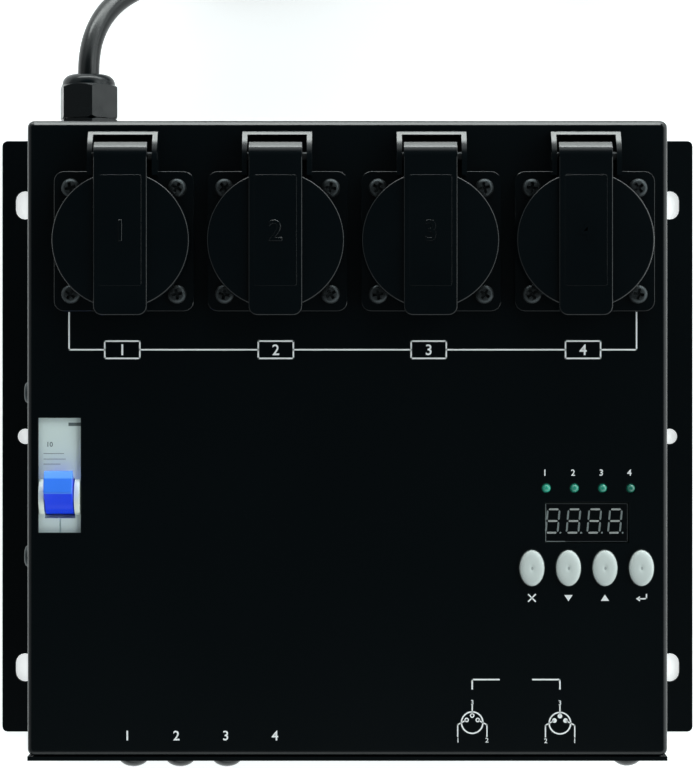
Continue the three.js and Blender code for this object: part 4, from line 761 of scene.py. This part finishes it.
def cross_screw(radius, height, span, arm):
    form = bmesh.new()
    rim = [form.verts.new((x, y, height)) for x, y in ring(radius * FLAT_RADIUS, 24)]
    half, reach = arm / 2, span / 2
    quarter = [(half, -reach), (half, -half), (reach, -half)]
    cross = []
    for _ in range(4):
        cross += quarter
        quarter = [(-y, x) for x, y in quarter]
    cut = [form.verts.new((x, y, height)) for x, y in cross]
    edges = []
    for loop in (rim, cut):
        edges += [form.edges.new((a, b)) for a, b in zip(loop, loop[1:] + loop[:1])]
    bmesh.ops.triangle_fill(form, edges=edges, use_beauty=True)
    recess = bmesh.ops.extrude_edge_only(form, edges=edges[len(rim):])["geom"]
    floor = of_kind(recess, bmesh.types.BMVert)
    bmesh.ops.translate(form, vec=(0, 0, -height * RECESS_DEPTH), verts=floor)
    bmesh.ops.scale(form, vec=(RECESS_TAPER, RECESS_TAPER, 1.0), verts=floor)
    bmesh.ops.holes_fill(form, edges=of_kind(recess, bmesh.types.BMEdge), sides=0)
    loop = edges[: len(rim)]
    for share, drop in HEAD_ROUND:
        grown = bmesh.ops.extrude_edge_only(form, edges=loop)["geom"]
        loop = of_kind(grown, bmesh.types.BMEdge)
        for vert in of_kind(grown, bmesh.types.BMVert):
            x, y = vert.co.xy.normalized() * radius * share
            vert.co = (x, y, height * (1.0 - drop))
    bmesh.ops.edgeloop_fill(form, edges=loop)
    bmesh.ops.recalc_face_normals(form, faces=form.faces)
    return form


# Sockets with their lids. Each lid sits a little to the left in its hinge
LID_SHIFT = -0.5
PIN_Y = 30.0  # hinge pin, above the socket's middle
STRAP_LOW, STRAP_TOP = 9.7, 14.0
STRAP_END_X, STRAP_END_Y, STRAP_ROUND = 6.3, -23.5, 3.2
BARREL_RADIUS, BARREL_Z = 5.0, 9.0
FIGURE_LIFT, FIGURE_STRETCH = 13.97, 5  # a raised number is a printed one, made thicker
FLANGE_TOP = 3.0
FLANGE_SIDE, FLANGE_CORNER = 24.9, 30.0  # its rim lies past these distances from its middle
SCREW_FROM_MIDDLE = 19.0
HOOD_CREST, HOOD_ROUND, HOOD_SLOPE = PIN_Y - 1.8, 11.0, math.radians(40)
HOOD_LOW = 0.9  # the hood's own corners stand above it
HOOD_SHORTER = 0.5  # off its back end


def socket_lid_form(channel):
    disc = turned(
        [(0, 9.6), (23.0, 9.6), (23.0, 7.4), (23.2, 7.2), (24.2, 7.2), (24.4, 7.4), (24.4, 11.95),
         (24.3, 12.25), (24.1, 12.43), (23.8, 12.5), (0, 12.5)],
        128,
    )
    ends = []
    for x, start in ((STRAP_END_X, -90), (-STRAP_END_X, 180)):
        for step in range(9):
            angle = math.radians(start + 11.25 * step)
            ends.append(
                (x + STRAP_ROUND * math.cos(angle), STRAP_END_Y + STRAP_ROUND * math.sin(angle))
            )
    strap = slab([*ends[:9], (9.5, PIN_Y), (-9.5, PIN_Y), *ends[9:]], STRAP_LOW, STRAP_TOP)
    soften(
        strap, 0.4, 3, 40.0,
        lambda edge: min(vert.co.z for vert in edge.verts) > STRAP_TOP - 0.1
        and min(vert.co.y for vert in edge.verts) < PIN_Y - 0.1,
    )
    field = slab(rounded(15.0, 39.3, 0.8, 3, 0.0, 3.35), STRAP_TOP - 0.1, STRAP_TOP + 0.04)
    soften(field, 0.03, 1)
    angles = [math.radians(degrees) for degrees in range(48, 361, 6)]
    section = [(BARREL_RADIUS * math.cos(a), BARREL_RADIUS * math.sin(a)) for a in angles]
    barrel = slab([*section, (4.95, 1.2), (4.8, 2.35)], -9.5, 9.5)
    placed(barrel, Matrix(((0, 0, 1, 0), (1, 0, 0, PIN_Y), (0, 1, 0, BARREL_Z), (0, 0, 0, 1))))
    bmesh.ops.recalc_face_normals(barrel, faces=barrel.faces)
    soften(barrel, 0.25, 2, 60.0)
    raised = shift(0, 0, FIGURE_LIFT) @ Matrix.Diagonal((1, 1, FIGURE_STRETCH, 1))
    figure = number(str(channel), 0.0, 3.3, 7.5)
    placed(figure, raised @ shift(0, 0, -FRONT))
    soften(figure, 0.07, 1, 60.0)
    whole = together(disc, strap, field, barrel, figure)
    return placed(whole, shift(LID_SHIFT, 0.0, 0.0))


def raise_hood(shell):
    # the hood runs straight down to the back from where its round leaves the crest
    start_y = HOOD_CREST + HOOD_ROUND * math.sin(HOOD_SLOPE)
    start_z = 1.0 + HOOD_ROUND * math.cos(HOOD_SLOPE)
    back = max(vert.co.y for vert in shell.verts) - 0.05
    for vert in shell.verts:
        if vert.co.z - FRONT > HOOD_LOW:
            if vert.co.y > back:
                vert.co.y -= HOOD_SHORTER
            past = vert.co.y - SOCKET_Y - start_y
            if past > 0.0:
                vert.co.z = FRONT + start_z - past * math.tan(HOOD_SLOPE)


def flange_rim(middle):
    def wanted(edge):
        aways = [vert.co - middle for vert in edge.verts]
        return all(
            abs(away.z) < 0.01
            and (away.length > FLANGE_CORNER or max(abs(away.x), abs(away.y)) > FLANGE_SIDE)
            for away in aways
        )

    return wanted


def sockets():
    for i in CHANNELS:
        place = on_front(SOCKET_X[i], SOCKET_Y)
        shell = copy_of(f"socket_body_{i}")
        raise_hood(shell)
        middle = Vector((SOCKET_X[i], SOCKET_Y, FRONT + FLANGE_TOP))
        soften(shell, 0.12, 1, 50.0, flange_rim(middle))
        soften(shell, 0.3, 2, 50.0, above(FRONT + FLANGE_TOP + 0.2))
        finished(f"socket_shell_{i}", shell, SOCKET_PLASTIC, stands_for=[f"socket_body_{i}"])
        finished(
            f"socket_cover_{i}", placed(socket_lid_form(i), place), SOCKET_PLASTIC,
            body=f"lid_{i}", stands_for=[f"socket_lid_{i}"],
        )
        screws = []  # each turned its own way
        for corner, (side, end) in enumerate(((-1, -1), (1, -1), (1, 1), (-1, 1))):
            turn = Matrix.Rotation(math.radians(31 + 47 * corner + 23 * i), 4, "Z")
            spot = shift(side * SCREW_FROM_MIDDLE, end * SCREW_FROM_MIDDLE, FLANGE_TOP)
            screws.append(placed(cross_screw(3.4, 2.0, 3.9, 1.0), place @ spot @ turn))
        finished(f"socket_screws_{i}", together(*screws), DARK_SCREW)


sockets()


# Breaker and its bracket's screws
CHEEK_LOW = FRONT - 1.75  # faces wholly above it are the ivory cheeks
LEVER_PAINTED_LIGHT_Y, LEVER_PAINTED_HIGHLIGHT_Y = -19.0, -13.4  # where the lever's painted light starts: lighter blue on its upper faces, the palest blue as a painted highlight on its tip strip,
LEVER_PAINTED_LIGHT_Z = 88.2  # all above this height
BRACKET_SCREWS_Y, BRACKET_SCREWS_Z = (17.3, -42.1), 73.0


def breaker():
    body = copy_of("breaker_body")
    print_height = max(vert.co.z for vert in body.verts if vert.co.y > 5)
    soften(body, 0.25, 2, 60.0, above(FRONT - 4))
    for face in body.faces:
        face.material_index = 1 if min(vert.co.z for vert in face.verts) > CHEEK_LOW else 0
    finished(
        "breaker_housing", body, [BREAKER_PLASTIC, CHEEK_PLASTIC], stands_for=["breaker_body"]
    )
    marks = [
        number("10", -106.9, -1.3, 1.75),
        line(-99.7, 5.9, -96.3, 5.9, 1.2),
        line(-109.2, -4.6, -102.0, -4.6, 0.16),
        line(-109.2, -6.6, -101.4, -6.6, 0.16),
        line(-109.2, -8.4, -103.2, -8.4, 0.16),
    ]
    marks = placed(together(*marks), shift(0.0, 0.0, print_height - FRONT))
    finished("breaker_marks", marks, BREAKER_PRINT)
    lever = copy_of("breaker_lever")
    soften(lever, 0.3, 3, 35.0)
    bmesh.ops.bisect_plane(
        lever, geom=[*lever.verts, *lever.edges, *lever.faces], dist=ON_CUT,
        plane_co=(0.0, LEVER_PAINTED_HIGHLIGHT_Y, 0.0), plane_no=(0.0, 1.0, 0.0),
    )
    # upper faces get the lighter blue as painted light, and the tip strip the palest blue as a
    # painted highlight
    for face in lever.faces:
        centre = face.calc_center_median()
        if centre.z > LEVER_PAINTED_LIGHT_Z and centre.y > LEVER_PAINTED_LIGHT_Y:
            face.material_index = 2 if centre.y > LEVER_PAINTED_HIGHLIGHT_Y else 1
    finished(
        "breaker_toggle", lever, [LEVER_BLUE, LEVER_PAINTED_LIGHT_BLUE, LEVER_PAINTED_HIGHLIGHT_BLUE], body="toggle",
        stands_for=["breaker_lever"],
    )
    screws = [
        placed(cross_screw(4.0, 2.1, 4.4, 1.1), on_left(y, BRACKET_SCREWS_Z))
        for y in BRACKET_SCREWS_Y
    ]
    finished("bracket_screws", together(*screws), DARK_SCREW)


breaker()


# Display, status lights and buttons
DISPLAY_FACE = 84.6
SEGMENT_THICK = 0.03
DIGIT_WIDTH, DIGIT_HEIGHT = 4.25, 8.4  # between the middles of its bars
DIGIT_LEAN = math.radians(5.0)
DIGITS_X, DIGITS_Y, DIGIT_PITCH = 73.72, -28.8, 7.46
BUTTON_NARROWER = 8.8 / 12.8
DIMPLE_RADIUS = 0.65


def segment_bar(x, y, length, width, upright=False):
    half, tip = length / 2, width / 2
    points = [
        (-half, 0.0), (-half + tip, -tip), (half - tip, -tip),
        (half, 0.0), (half - tip, tip), (-half + tip, tip),
    ]
    turn = Matrix.Rotation(math.pi / 2 if upright else 0.0, 4, "Z")
    return placed(slab(points, 0.0, SEGMENT_THICK), shift(x, y, 0) @ turn)


def digit_form():
    right, top = DIGIT_WIDTH / 2, DIGIT_HEIGHT / 2
    level = [segment_bar(0, y, 3.65, 0.66) for y in (-top, 0.0, top)]
    upright = [
        segment_bar(x, y, 3.55, 0.62, upright=True)
        for x in (-right, right)
        for y in (-top / 2, top / 2)
    ]
    point = slab(ring(0.33, 16, right + 1.0, -top), 0.0, SEGMENT_THICK)
    for dim in (*upright, point):
        in_second_finish(dim.faces)
    lean = Matrix.Identity(4)
    lean[0][1] = math.tan(DIGIT_LEAN)
    return placed(together(*level, *upright, point), lean)


def display():
    window = soften(cuboid(71.1, 100.7, -36.3, -22.4, 75.9, DISPLAY_FACE), 0.25, 3)
    finished("display_window", window, DISPLAY_GLASS, stands_for=["display"])
    digits = [
        placed(digit_form(), shift(DIGITS_X + DIGIT_PITCH * order, DIGITS_Y, DISPLAY_FACE))
        for order in range(4)
    ]
    finished("display_digits", together(*digits), [SEGMENT_GREY, SEGMENT_DIM_AND_PAINTED_RIM_HIGHLIGHT])
    # Painted light round the window: grey lines along its edges stand in for the sheen the edge
    # catches, with lighter strips on the left and at the bottom left as a painted highlight
    left, right, low, high = 71.25, 100.55, -36.15, -22.55
    half, below, over = 0.13, DISPLAY_FACE - 0.1, DISPLAY_FACE + 0.04
    dark = [
        cuboid(left, right, high - half, high + half, below, over),
        cuboid(left, right, low - half, low + half, below, over),
        cuboid(right - half, right + half, low, high, below, over),
    ]
    bright = [
        cuboid(left - half, left + 0.09, low, high, below, over),
        cuboid(left, left + 7.0, low - 0.12, low + 0.14, below, over + 0.01),
    ]
    for strip in bright:
        in_second_finish(strip.faces)
    finished("display_rim_painted_sheen", together(*dark, *bright), [WINDOW_RIM_PAINTED_SHEEN, SEGMENT_DIM_AND_PAINTED_RIM_HIGHLIGHT])


def status_light(i):
    lens = turned(
        [(0, -9.1), (1.9, -9.1), (1.9, -8.1), (1.5, -8.1), (1.5, -0.4), (1.44, 0.05),
         (1.25, 0.5), (0.92, 0.85), (0.5, 1.05), (0, 1.1)],
        28,
    )
    finished(
        f"status_lens_{i}", placed(lens, on_front(LIGHT_X[i], LIGHT_Y)), LIGHT_GREEN[i],
        stands_for=[f"status_light_{i}"],
    )


def push_button(i):
    # turned round, then made oval
    cap = turned(
        [(0, -3.2), (7.4, -3.2), (7.4, -1.8), (6.4, -1.8), (6.4, 0.7), (6.33, 1.15), (6.05, 1.55),
         (5.6, 1.82), (4.6, 2.02), (3.6, 2.1), (2.6, 2.14), (1.8, 2.14), (1.4, 2.12),
         (1.15, 2.09), (0.9, 2.05), (0.6, 2.02), (0, 2.0)],
        72,
    )
    # faces in the dimple get the darker grey, painted shade in the hollow
    in_second_finish(
        face
        for face in cap.faces
        if face.calc_center_median().z > 0
        and all(vert.co.xy.length < DIMPLE_RADIUS for vert in face.verts)
    )
    bmesh.ops.scale(cap, vec=(BUTTON_NARROWER, 1.0, 1.0), verts=cap.verts)
    finished(
        f"button_cap_{i}", placed(cap, on_front(BUTTON_X[i], BUTTON_Y)),
        [BUTTON_PLASTIC, DIMPLE_PAINTED_SHADE], body=f"push_button_{i}", stands_for=[f"button_{i}"],
    )


display()
for channel in CHANNELS:
    status_light(channel)
    push_button(channel)


# Print: a line of numbered boxes under the sockets, numbers at lights and fuses, signs under
# the buttons, and the diagrams of the signal sockets
ROW_Y, ROW_LEFT, ROW_RIGHT, ROW_TOP = 32.7, -99.9, 103.8, 46.0
BOX_X = (-80.8, -25.7, 29.2, 84.6)
BOX_WIDTH, BOX_HEIGHT = 12.6, 6.2
LIGHT_NUMBER_Y = -11.4
FUSE_NUMBER_X, FUSE_NUMBER_Y = (-79.0, -61.4, -43.7, -26.0), -105.8
SIGN_Y = -56.4
SIGN = 0.5  # width of the signs' lines
SIGNAL_X = (44.8, 76.3)
DIAGRAM_Y = (-101.15, -101.35)
SIGNAL_LINE_LOW, SIGNAL_LINE_Y = -89.0, -85.7


def button_signs():
    x1, x2, x3, x4 = (BUTTON_X[i] for i in CHANNELS)
    y = SIGN_Y
    return [  # cross, arrow down, arrow up, return arrow
        line(x1 - 1.2, y - 1.2, x1 + 1.2, y + 1.2, SIGN),
        line(x1 - 1.2, y + 1.2, x1 + 1.2, y - 1.2, SIGN),
        arrow(x2, y, 1.5, -1),
        arrow(x3, y, 1.5, 1),
        *lines([(x4 + 1.8, y + 1.2), (x4 + 1.8, y - 0.3), (x4 - 0.6, y - 0.3)], SIGN),
        slab(
            [(x4 - 2.0, y - 0.3), (x4 - 0.5, y - 1.3), (x4 - 0.5, y + 0.7)], PRINT_LOW, PRINT_HIGH
        ),
    ]


def printed_marks():
    marks = [line(x, ROW_TOP, x, ROW_Y) for x in (ROW_LEFT, ROW_RIGHT)]
    stops = [ROW_LEFT]
    for x in BOX_X:
        stops += [x - BOX_WIDTH / 2, x + BOX_WIDTH / 2]
    stops.append(ROW_RIGHT)
    for start, end in zip(stops[::2], stops[1::2]):
        marks.append(line(start, ROW_Y, end, ROW_Y))
    for i, x in zip(CHANNELS, BOX_X):
        marks += box_line(x, ROW_Y, BOX_WIDTH, BOX_HEIGHT)
        marks.append(number(str(i), x, ROW_Y, 3.9))
        marks.append(number(str(i), LIGHT_X[i] - 0.6, LIGHT_NUMBER_Y, 2.3))
    for i, x in zip(CHANNELS, FUSE_NUMBER_X):
        marks.append(number(str(i), x, FUSE_NUMBER_Y, 3.5))
    marks += button_signs()
    marks += signal_diagram(SIGNAL_X[0], DIAGRAM_Y[0], False, "1", "2")
    marks += signal_diagram(SIGNAL_X[1], DIAGRAM_Y[1], True, "2", "1")
    for x, inward in zip(SIGNAL_X, (9.6, -9.7)):
        marks += lines([(x, SIGNAL_LINE_LOW), (x, SIGNAL_LINE_Y), (x + inward, SIGNAL_LINE_Y)])
    finished("printed_marks", together(*marks), WHITE_PRINT)


printed_marks()


# Cable gland. A turned blank gets six flats, so its bevelled ends show the usual scallops
GLAND_X, GLAND_Z = -96.6, 45.0
GLAND_ACROSS, LOCK_NUT_ACROSS = 20.0, 22.0
GLAND_TURN = 0.2 + math.pi / 6


def six_flats(form, across, turn):
    for side in range(6):
        way = turn + math.pi / 6 + side * math.pi / 3
        normal = Vector((math.cos(way), math.sin(way), 0.0))
        cut = bmesh.ops.bisect_plane(
            form, geom=[*form.verts, *form.edges, *form.faces], dist=ON_CUT,
            plane_co=normal * across / 2, plane_no=normal, clear_outer=True,
        )
        bmesh.ops.holes_fill(form, edges=of_kind(cut["geom_cut"], bmesh.types.BMEdge), sides=0)
    bmesh.ops.recalc_face_normals(form, faces=form.faces)
    return form


def gland():
    place = on_top(GLAND_X, GLAND_Z)
    base = turned([(0, 0), (10.9, 0), (11.54, 0.5), (11.54, 3.5), (10.5, 4.0), (0, 4.0)], 72)
    lock_nut = turned(
        [(0, -5.5), (11.6, -5.5), (12.7, -4.9), (12.7, -2.1), (11.6, -1.5), (0, -1.5)], 72
    )
    thread = turned_loop(
        [(5.0, -10.5), (7.9, -10.5), (8.2, -10.2), (8.2, 0.2), (7.7, 0.2), (7.7, 13.0),
         (5.0, 13.0)],
        48,
    )
    body = together(
        six_flats(base, GLAND_ACROSS, GLAND_TURN),
        six_flats(lock_nut, LOCK_NUT_ACROSS, 0.0),
        thread,
    )
    finished("gland_base", placed(body, place), GLAND_PLASTIC, stands_for=["gland_body"])
    blank = turned_loop(
        [(8.0, 4.3), (10.7, 4.3), (11.54, 4.9), (11.54, 15.8), (9.85, 16.9), (9.8, 17.5),
         (9.5, 18.6), (8.9, 19.5), (7.9, 20.3), (6.7, 20.7), (5.6, 20.6), (4.7, 20.1),
         (4.35, 19.3), (4.35, 13.4), (8.0, 13.4)],
        96,
    )
    nut = placed(six_flats(blank, GLAND_ACROSS, GLAND_TURN), place)
    finished("gland_dome_nut", nut, GLAND_PLASTIC, stands_for=["gland_nut"], sharp=24.0)


gland()


# Connector panel: fuse holders with their caps, signal sockets, blanking plug
DOME_STEPS = 8
BLANK_X, BLANK_Z = 104.2, 46.0
SIGNAL_Z = 42.5
SIGNAL_FACE = 2.0  # the signal sockets' flanges stand out this far


def dome(radius, low, high):
    angles = [math.pi / 2 * step / DOME_STEPS for step in range(DOME_STEPS)]
    points = [(radius * math.cos(a), low + (high - low) * math.sin(a)) for a in angles]
    return [*points, (0, high)]


def fuse(i):
    place = on_panel(FUSE_X[i], FUSE_Z[i])
    holder = turned_loop(
        [(4.3, -29.8), (4.3, 1.8), (4.5, 2.0), (7.1, 2.0), (7.6, 1.7), (7.75, 1.2), (7.75, 0.0),
         (6.0, 0.0), (6.0, -1.5), (8.0, -1.5), (8.0, -4.5), (6.0, -4.5), (6.0, -32.0),
         (0.0, -32.0), (0.0, -29.8)],
        56,
    )
    finished(
        f"fuse_socket_{i}", placed(holder, place), SOCKET_PLASTIC, stands_for=[f"fuse_holder_{i}"]
    )
    cap = turned(
        [(0, 1.3), (2.85, 1.3), (2.9, -3.6), (4.0, -3.7), (4.0, 2.3), (5.6, 2.3), (5.7, 2.5),
         *dome(5.7, 3.4, 7.2)],
        56,
    )
    finished(
        f"fuse_dome_{i}", placed(cap, place), SOCKET_PLASTIC, body=f"cap_{i}",
        stands_for=[f"fuse_cap_{i}"],
    )


def outside_panel(edge):
    return all(vert.co.y < -WALL - 0.5 for vert in edge.verts)


def connector_panel():
    for i in CHANNELS:
        fuse(i)
    blank = turned(
        [(0, -4.5), (4.5, -4.5), (5.0, -1.5), (5.0, 0.0), (6.4, 0.0), *dome(6.4, 1.4, 7.0)], 64
    )
    placed(blank, on_panel(BLANK_X, BLANK_Z))
    finished("blank_dome", blank, SOCKET_PLASTIC, stands_for=["blanking_plug"])
    for name, node in (
        ("signal_out_shell", "signal_output_socket"),
        ("signal_in_shell", "signal_input_socket"),
    ):
        form = soften(copy_of(node), 0.25, 2, 60.0, outside_panel)
        finished(name, form, SOCKET_PLASTIC, stands_for=[node])
    screws = []
    for x in SIGNAL_X:
        for right, up in ((-9.5, 12.0), (9.5, -12.0)):
            spot = on_panel(x + right, SIGNAL_Z + up) @ shift(0, 0, SIGNAL_FACE)
            screws.append(placed(cross_screw(2.6, 1.5, 3.0, 0.8), spot))
    finished("signal_socket_screws", together(*screws), DARK_SCREW)


connector_panel()


# Flat heads at the back of the screws that hold the cover
REAR_SCREWS = ((-107.5, -78), (-107.5, 78), (107.5, -78), (107.5, 78), (-45, 107.5), (45, 107.5))


def rear_screws():
    screws = []
    for x, y in REAR_SCREWS:
        head = turned([(0, 0.05), (2.6, 0.05), (2.75, 0.15), (1.5, 1.4), (0, 1.4)], 28)
        screws.append(placed(head, shift(x, y, 0.0)))
    finished("cover_screws", together(*screws), DARK_SCREW)


rear_screws()


# Pieces that keep their own shape get their finish
def dress():
    finishes = {
        "lid_hinge_pin": DARK_PIN,
        "earth_clip": CLIP_BRASS,
        "breaker_bracket": ZINC,
        "control_board": BOARD_GREEN,
        "power_board": BOARD_GREEN,
        "heat_sink": SINK_METAL,
        "filter_choke": CHOKE_COPPER,
        "mains_transformer": CORE_STEEL,
        "fuse_link": FUSE_GLASS,
        "signal_output_latch": ZINC,
    }
    for name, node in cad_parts.items():
        for start, material in finishes.items():
            if name.startswith(start):
                node.data.materials.clear()
                node.data.materials.append(material)


dress()


# Floor and light. The floor shows as white, and keeps the object's shadow
FLOOR_SIZE, FLOOR_DROP = 6.0, 0.0004
FLOOR_LIFT = 0.68  # its own shine, seen straight and in reflections
LIGHT_AIM = (0.0, 0.02, 0.03)
LAMP_COLOUR = (0.94, 1.0, 0.985)
WALL_LIGHT, CEILING_LIGHT = 1.15, 0.03
LEFT_SHARE, RIGHT_SHARE = 0.35, 1.65  # of the walls' light


def stage():
    floor = bmesh.new()
    bmesh.ops.create_grid(floor, x_segments=1, y_segments=1, size=FLOOR_SIZE)
    bmesh.ops.translate(floor, vec=(0, 0, -FLOOR_DROP), verts=floor.verts)
    mesh = bpy.data.meshes.new("floor")
    floor.to_mesh(mesh)
    floor.free()
    pale = bpy.data.materials.new("pale_floor")
    pale.use_nodes = True
    tree = pale.node_tree
    shader = tree.nodes["Principled BSDF"]
    set_inputs(shader, {
        "Base Color": (0.82, 0.83, 0.83, 1.0),
        "Roughness": 0.9,
        "Specular IOR Level": 0.1,
        "Emission Color": (0.96, 1.0, 1.0, 1.0),
    })
    ray = tree.nodes.new("ShaderNodeLightPath").outputs
    seen = math_node(tree, "MAXIMUM", ray["Is Camera Ray"], ray["Is Glossy Ray"])
    shown = math_node(tree, "MAXIMUM", seen, ray["Is Transmission Ray"])
    lift = math_node(tree, "MULTIPLY", shown, FLOOR_LIFT)
    tree.links.new(lift, shader.inputs["Emission Strength"])
    mesh.materials.append(pale)
    sheet = bpy.data.objects.new("floor", mesh)
    scene.collection.objects.link(sheet)


def soft_light(name, place, radiance, width, height):
    lamp = bpy.data.lights.new(name, "AREA")
    lamp.shape = "RECTANGLE"
    lamp.size, lamp.size_y = width, height
    lamp.energy = radiance * math.pi * width * height
    lamp.color = LAMP_COLOUR
    light = bpy.data.objects.new(name, lamp)
    light.location = place
    aim = Vector(LIGHT_AIM) - Vector(place)
    light.rotation_mode = "QUATERNION"
    light.rotation_quaternion = aim.to_track_quat("-Z", "Y")
    light.visible_camera = False
    scene.collection.objects.link(light)


def lighting():
    # bright walls all round, more so on the right, and a dark ceiling, which keeps the flat
    # black faces black
    world = bpy.data.worlds.new("studio")
    world.use_nodes = True
    tree = world.node_tree
    back = tree.nodes["Background"]
    back.inputs["Color"].default_value = (0.92, 0.99, 1.0, 1.0)
    way = tree.nodes.new("ShaderNodeTexCoord").outputs["Generated"]

    def share(direction, limits, interpolation="LINEAR"):
        along = tree.nodes.new("ShaderNodeVectorMath")
        along.operation = "DOT_PRODUCT"
        along.inputs[1].default_value = direction
        tree.links.new(way, along.inputs[0])
        limited = tree.nodes.new("ShaderNodeMapRange")
        limited.interpolation_type = interpolation
        names = ("From Min", "From Max", "To Min", "To Max")
        set_inputs(limited, dict(zip(names, limits)))
        tree.links.new(along.outputs["Value"], limited.inputs["Value"])
        return limited.outputs["Result"]

    wall_end, ceiling_start = math.cos(math.radians(50)), math.cos(math.radians(34))
    walls = share(
        (0.0, 0.1, 0.995), (wall_end, ceiling_start, WALL_LIGHT, CEILING_LIGHT), "SMOOTHSTEP"
    )
    sides = share((1.0, 0.25, 0.0), (-1.0, 1.0, LEFT_SHARE, RIGHT_SHARE))
    tree.links.new(math_node(tree, "MULTIPLY", walls, sides), back.inputs["Strength"])
    scene.world = world
    soft_light("top_softbox", (0.1, 1.5, 0.27), 14.0, 2.0, 0.3)
    soft_light("right_softbox", (1.4, 0.1, 0.3), 1.6, 1.4, 0.4)
    soft_light("key_softbox", (1.0, 0.8, 1.05), 2.4, 0.6, 0.6)
    soft_light("bottom_softbox", (0.0, -1.3, 0.75), 0.9, 1.4, 0.5)
    soft_light("ceiling_softbox", (0.0, -0.8, 2.1), 0.3, 1.1, 0.5)


stage()
lighting()
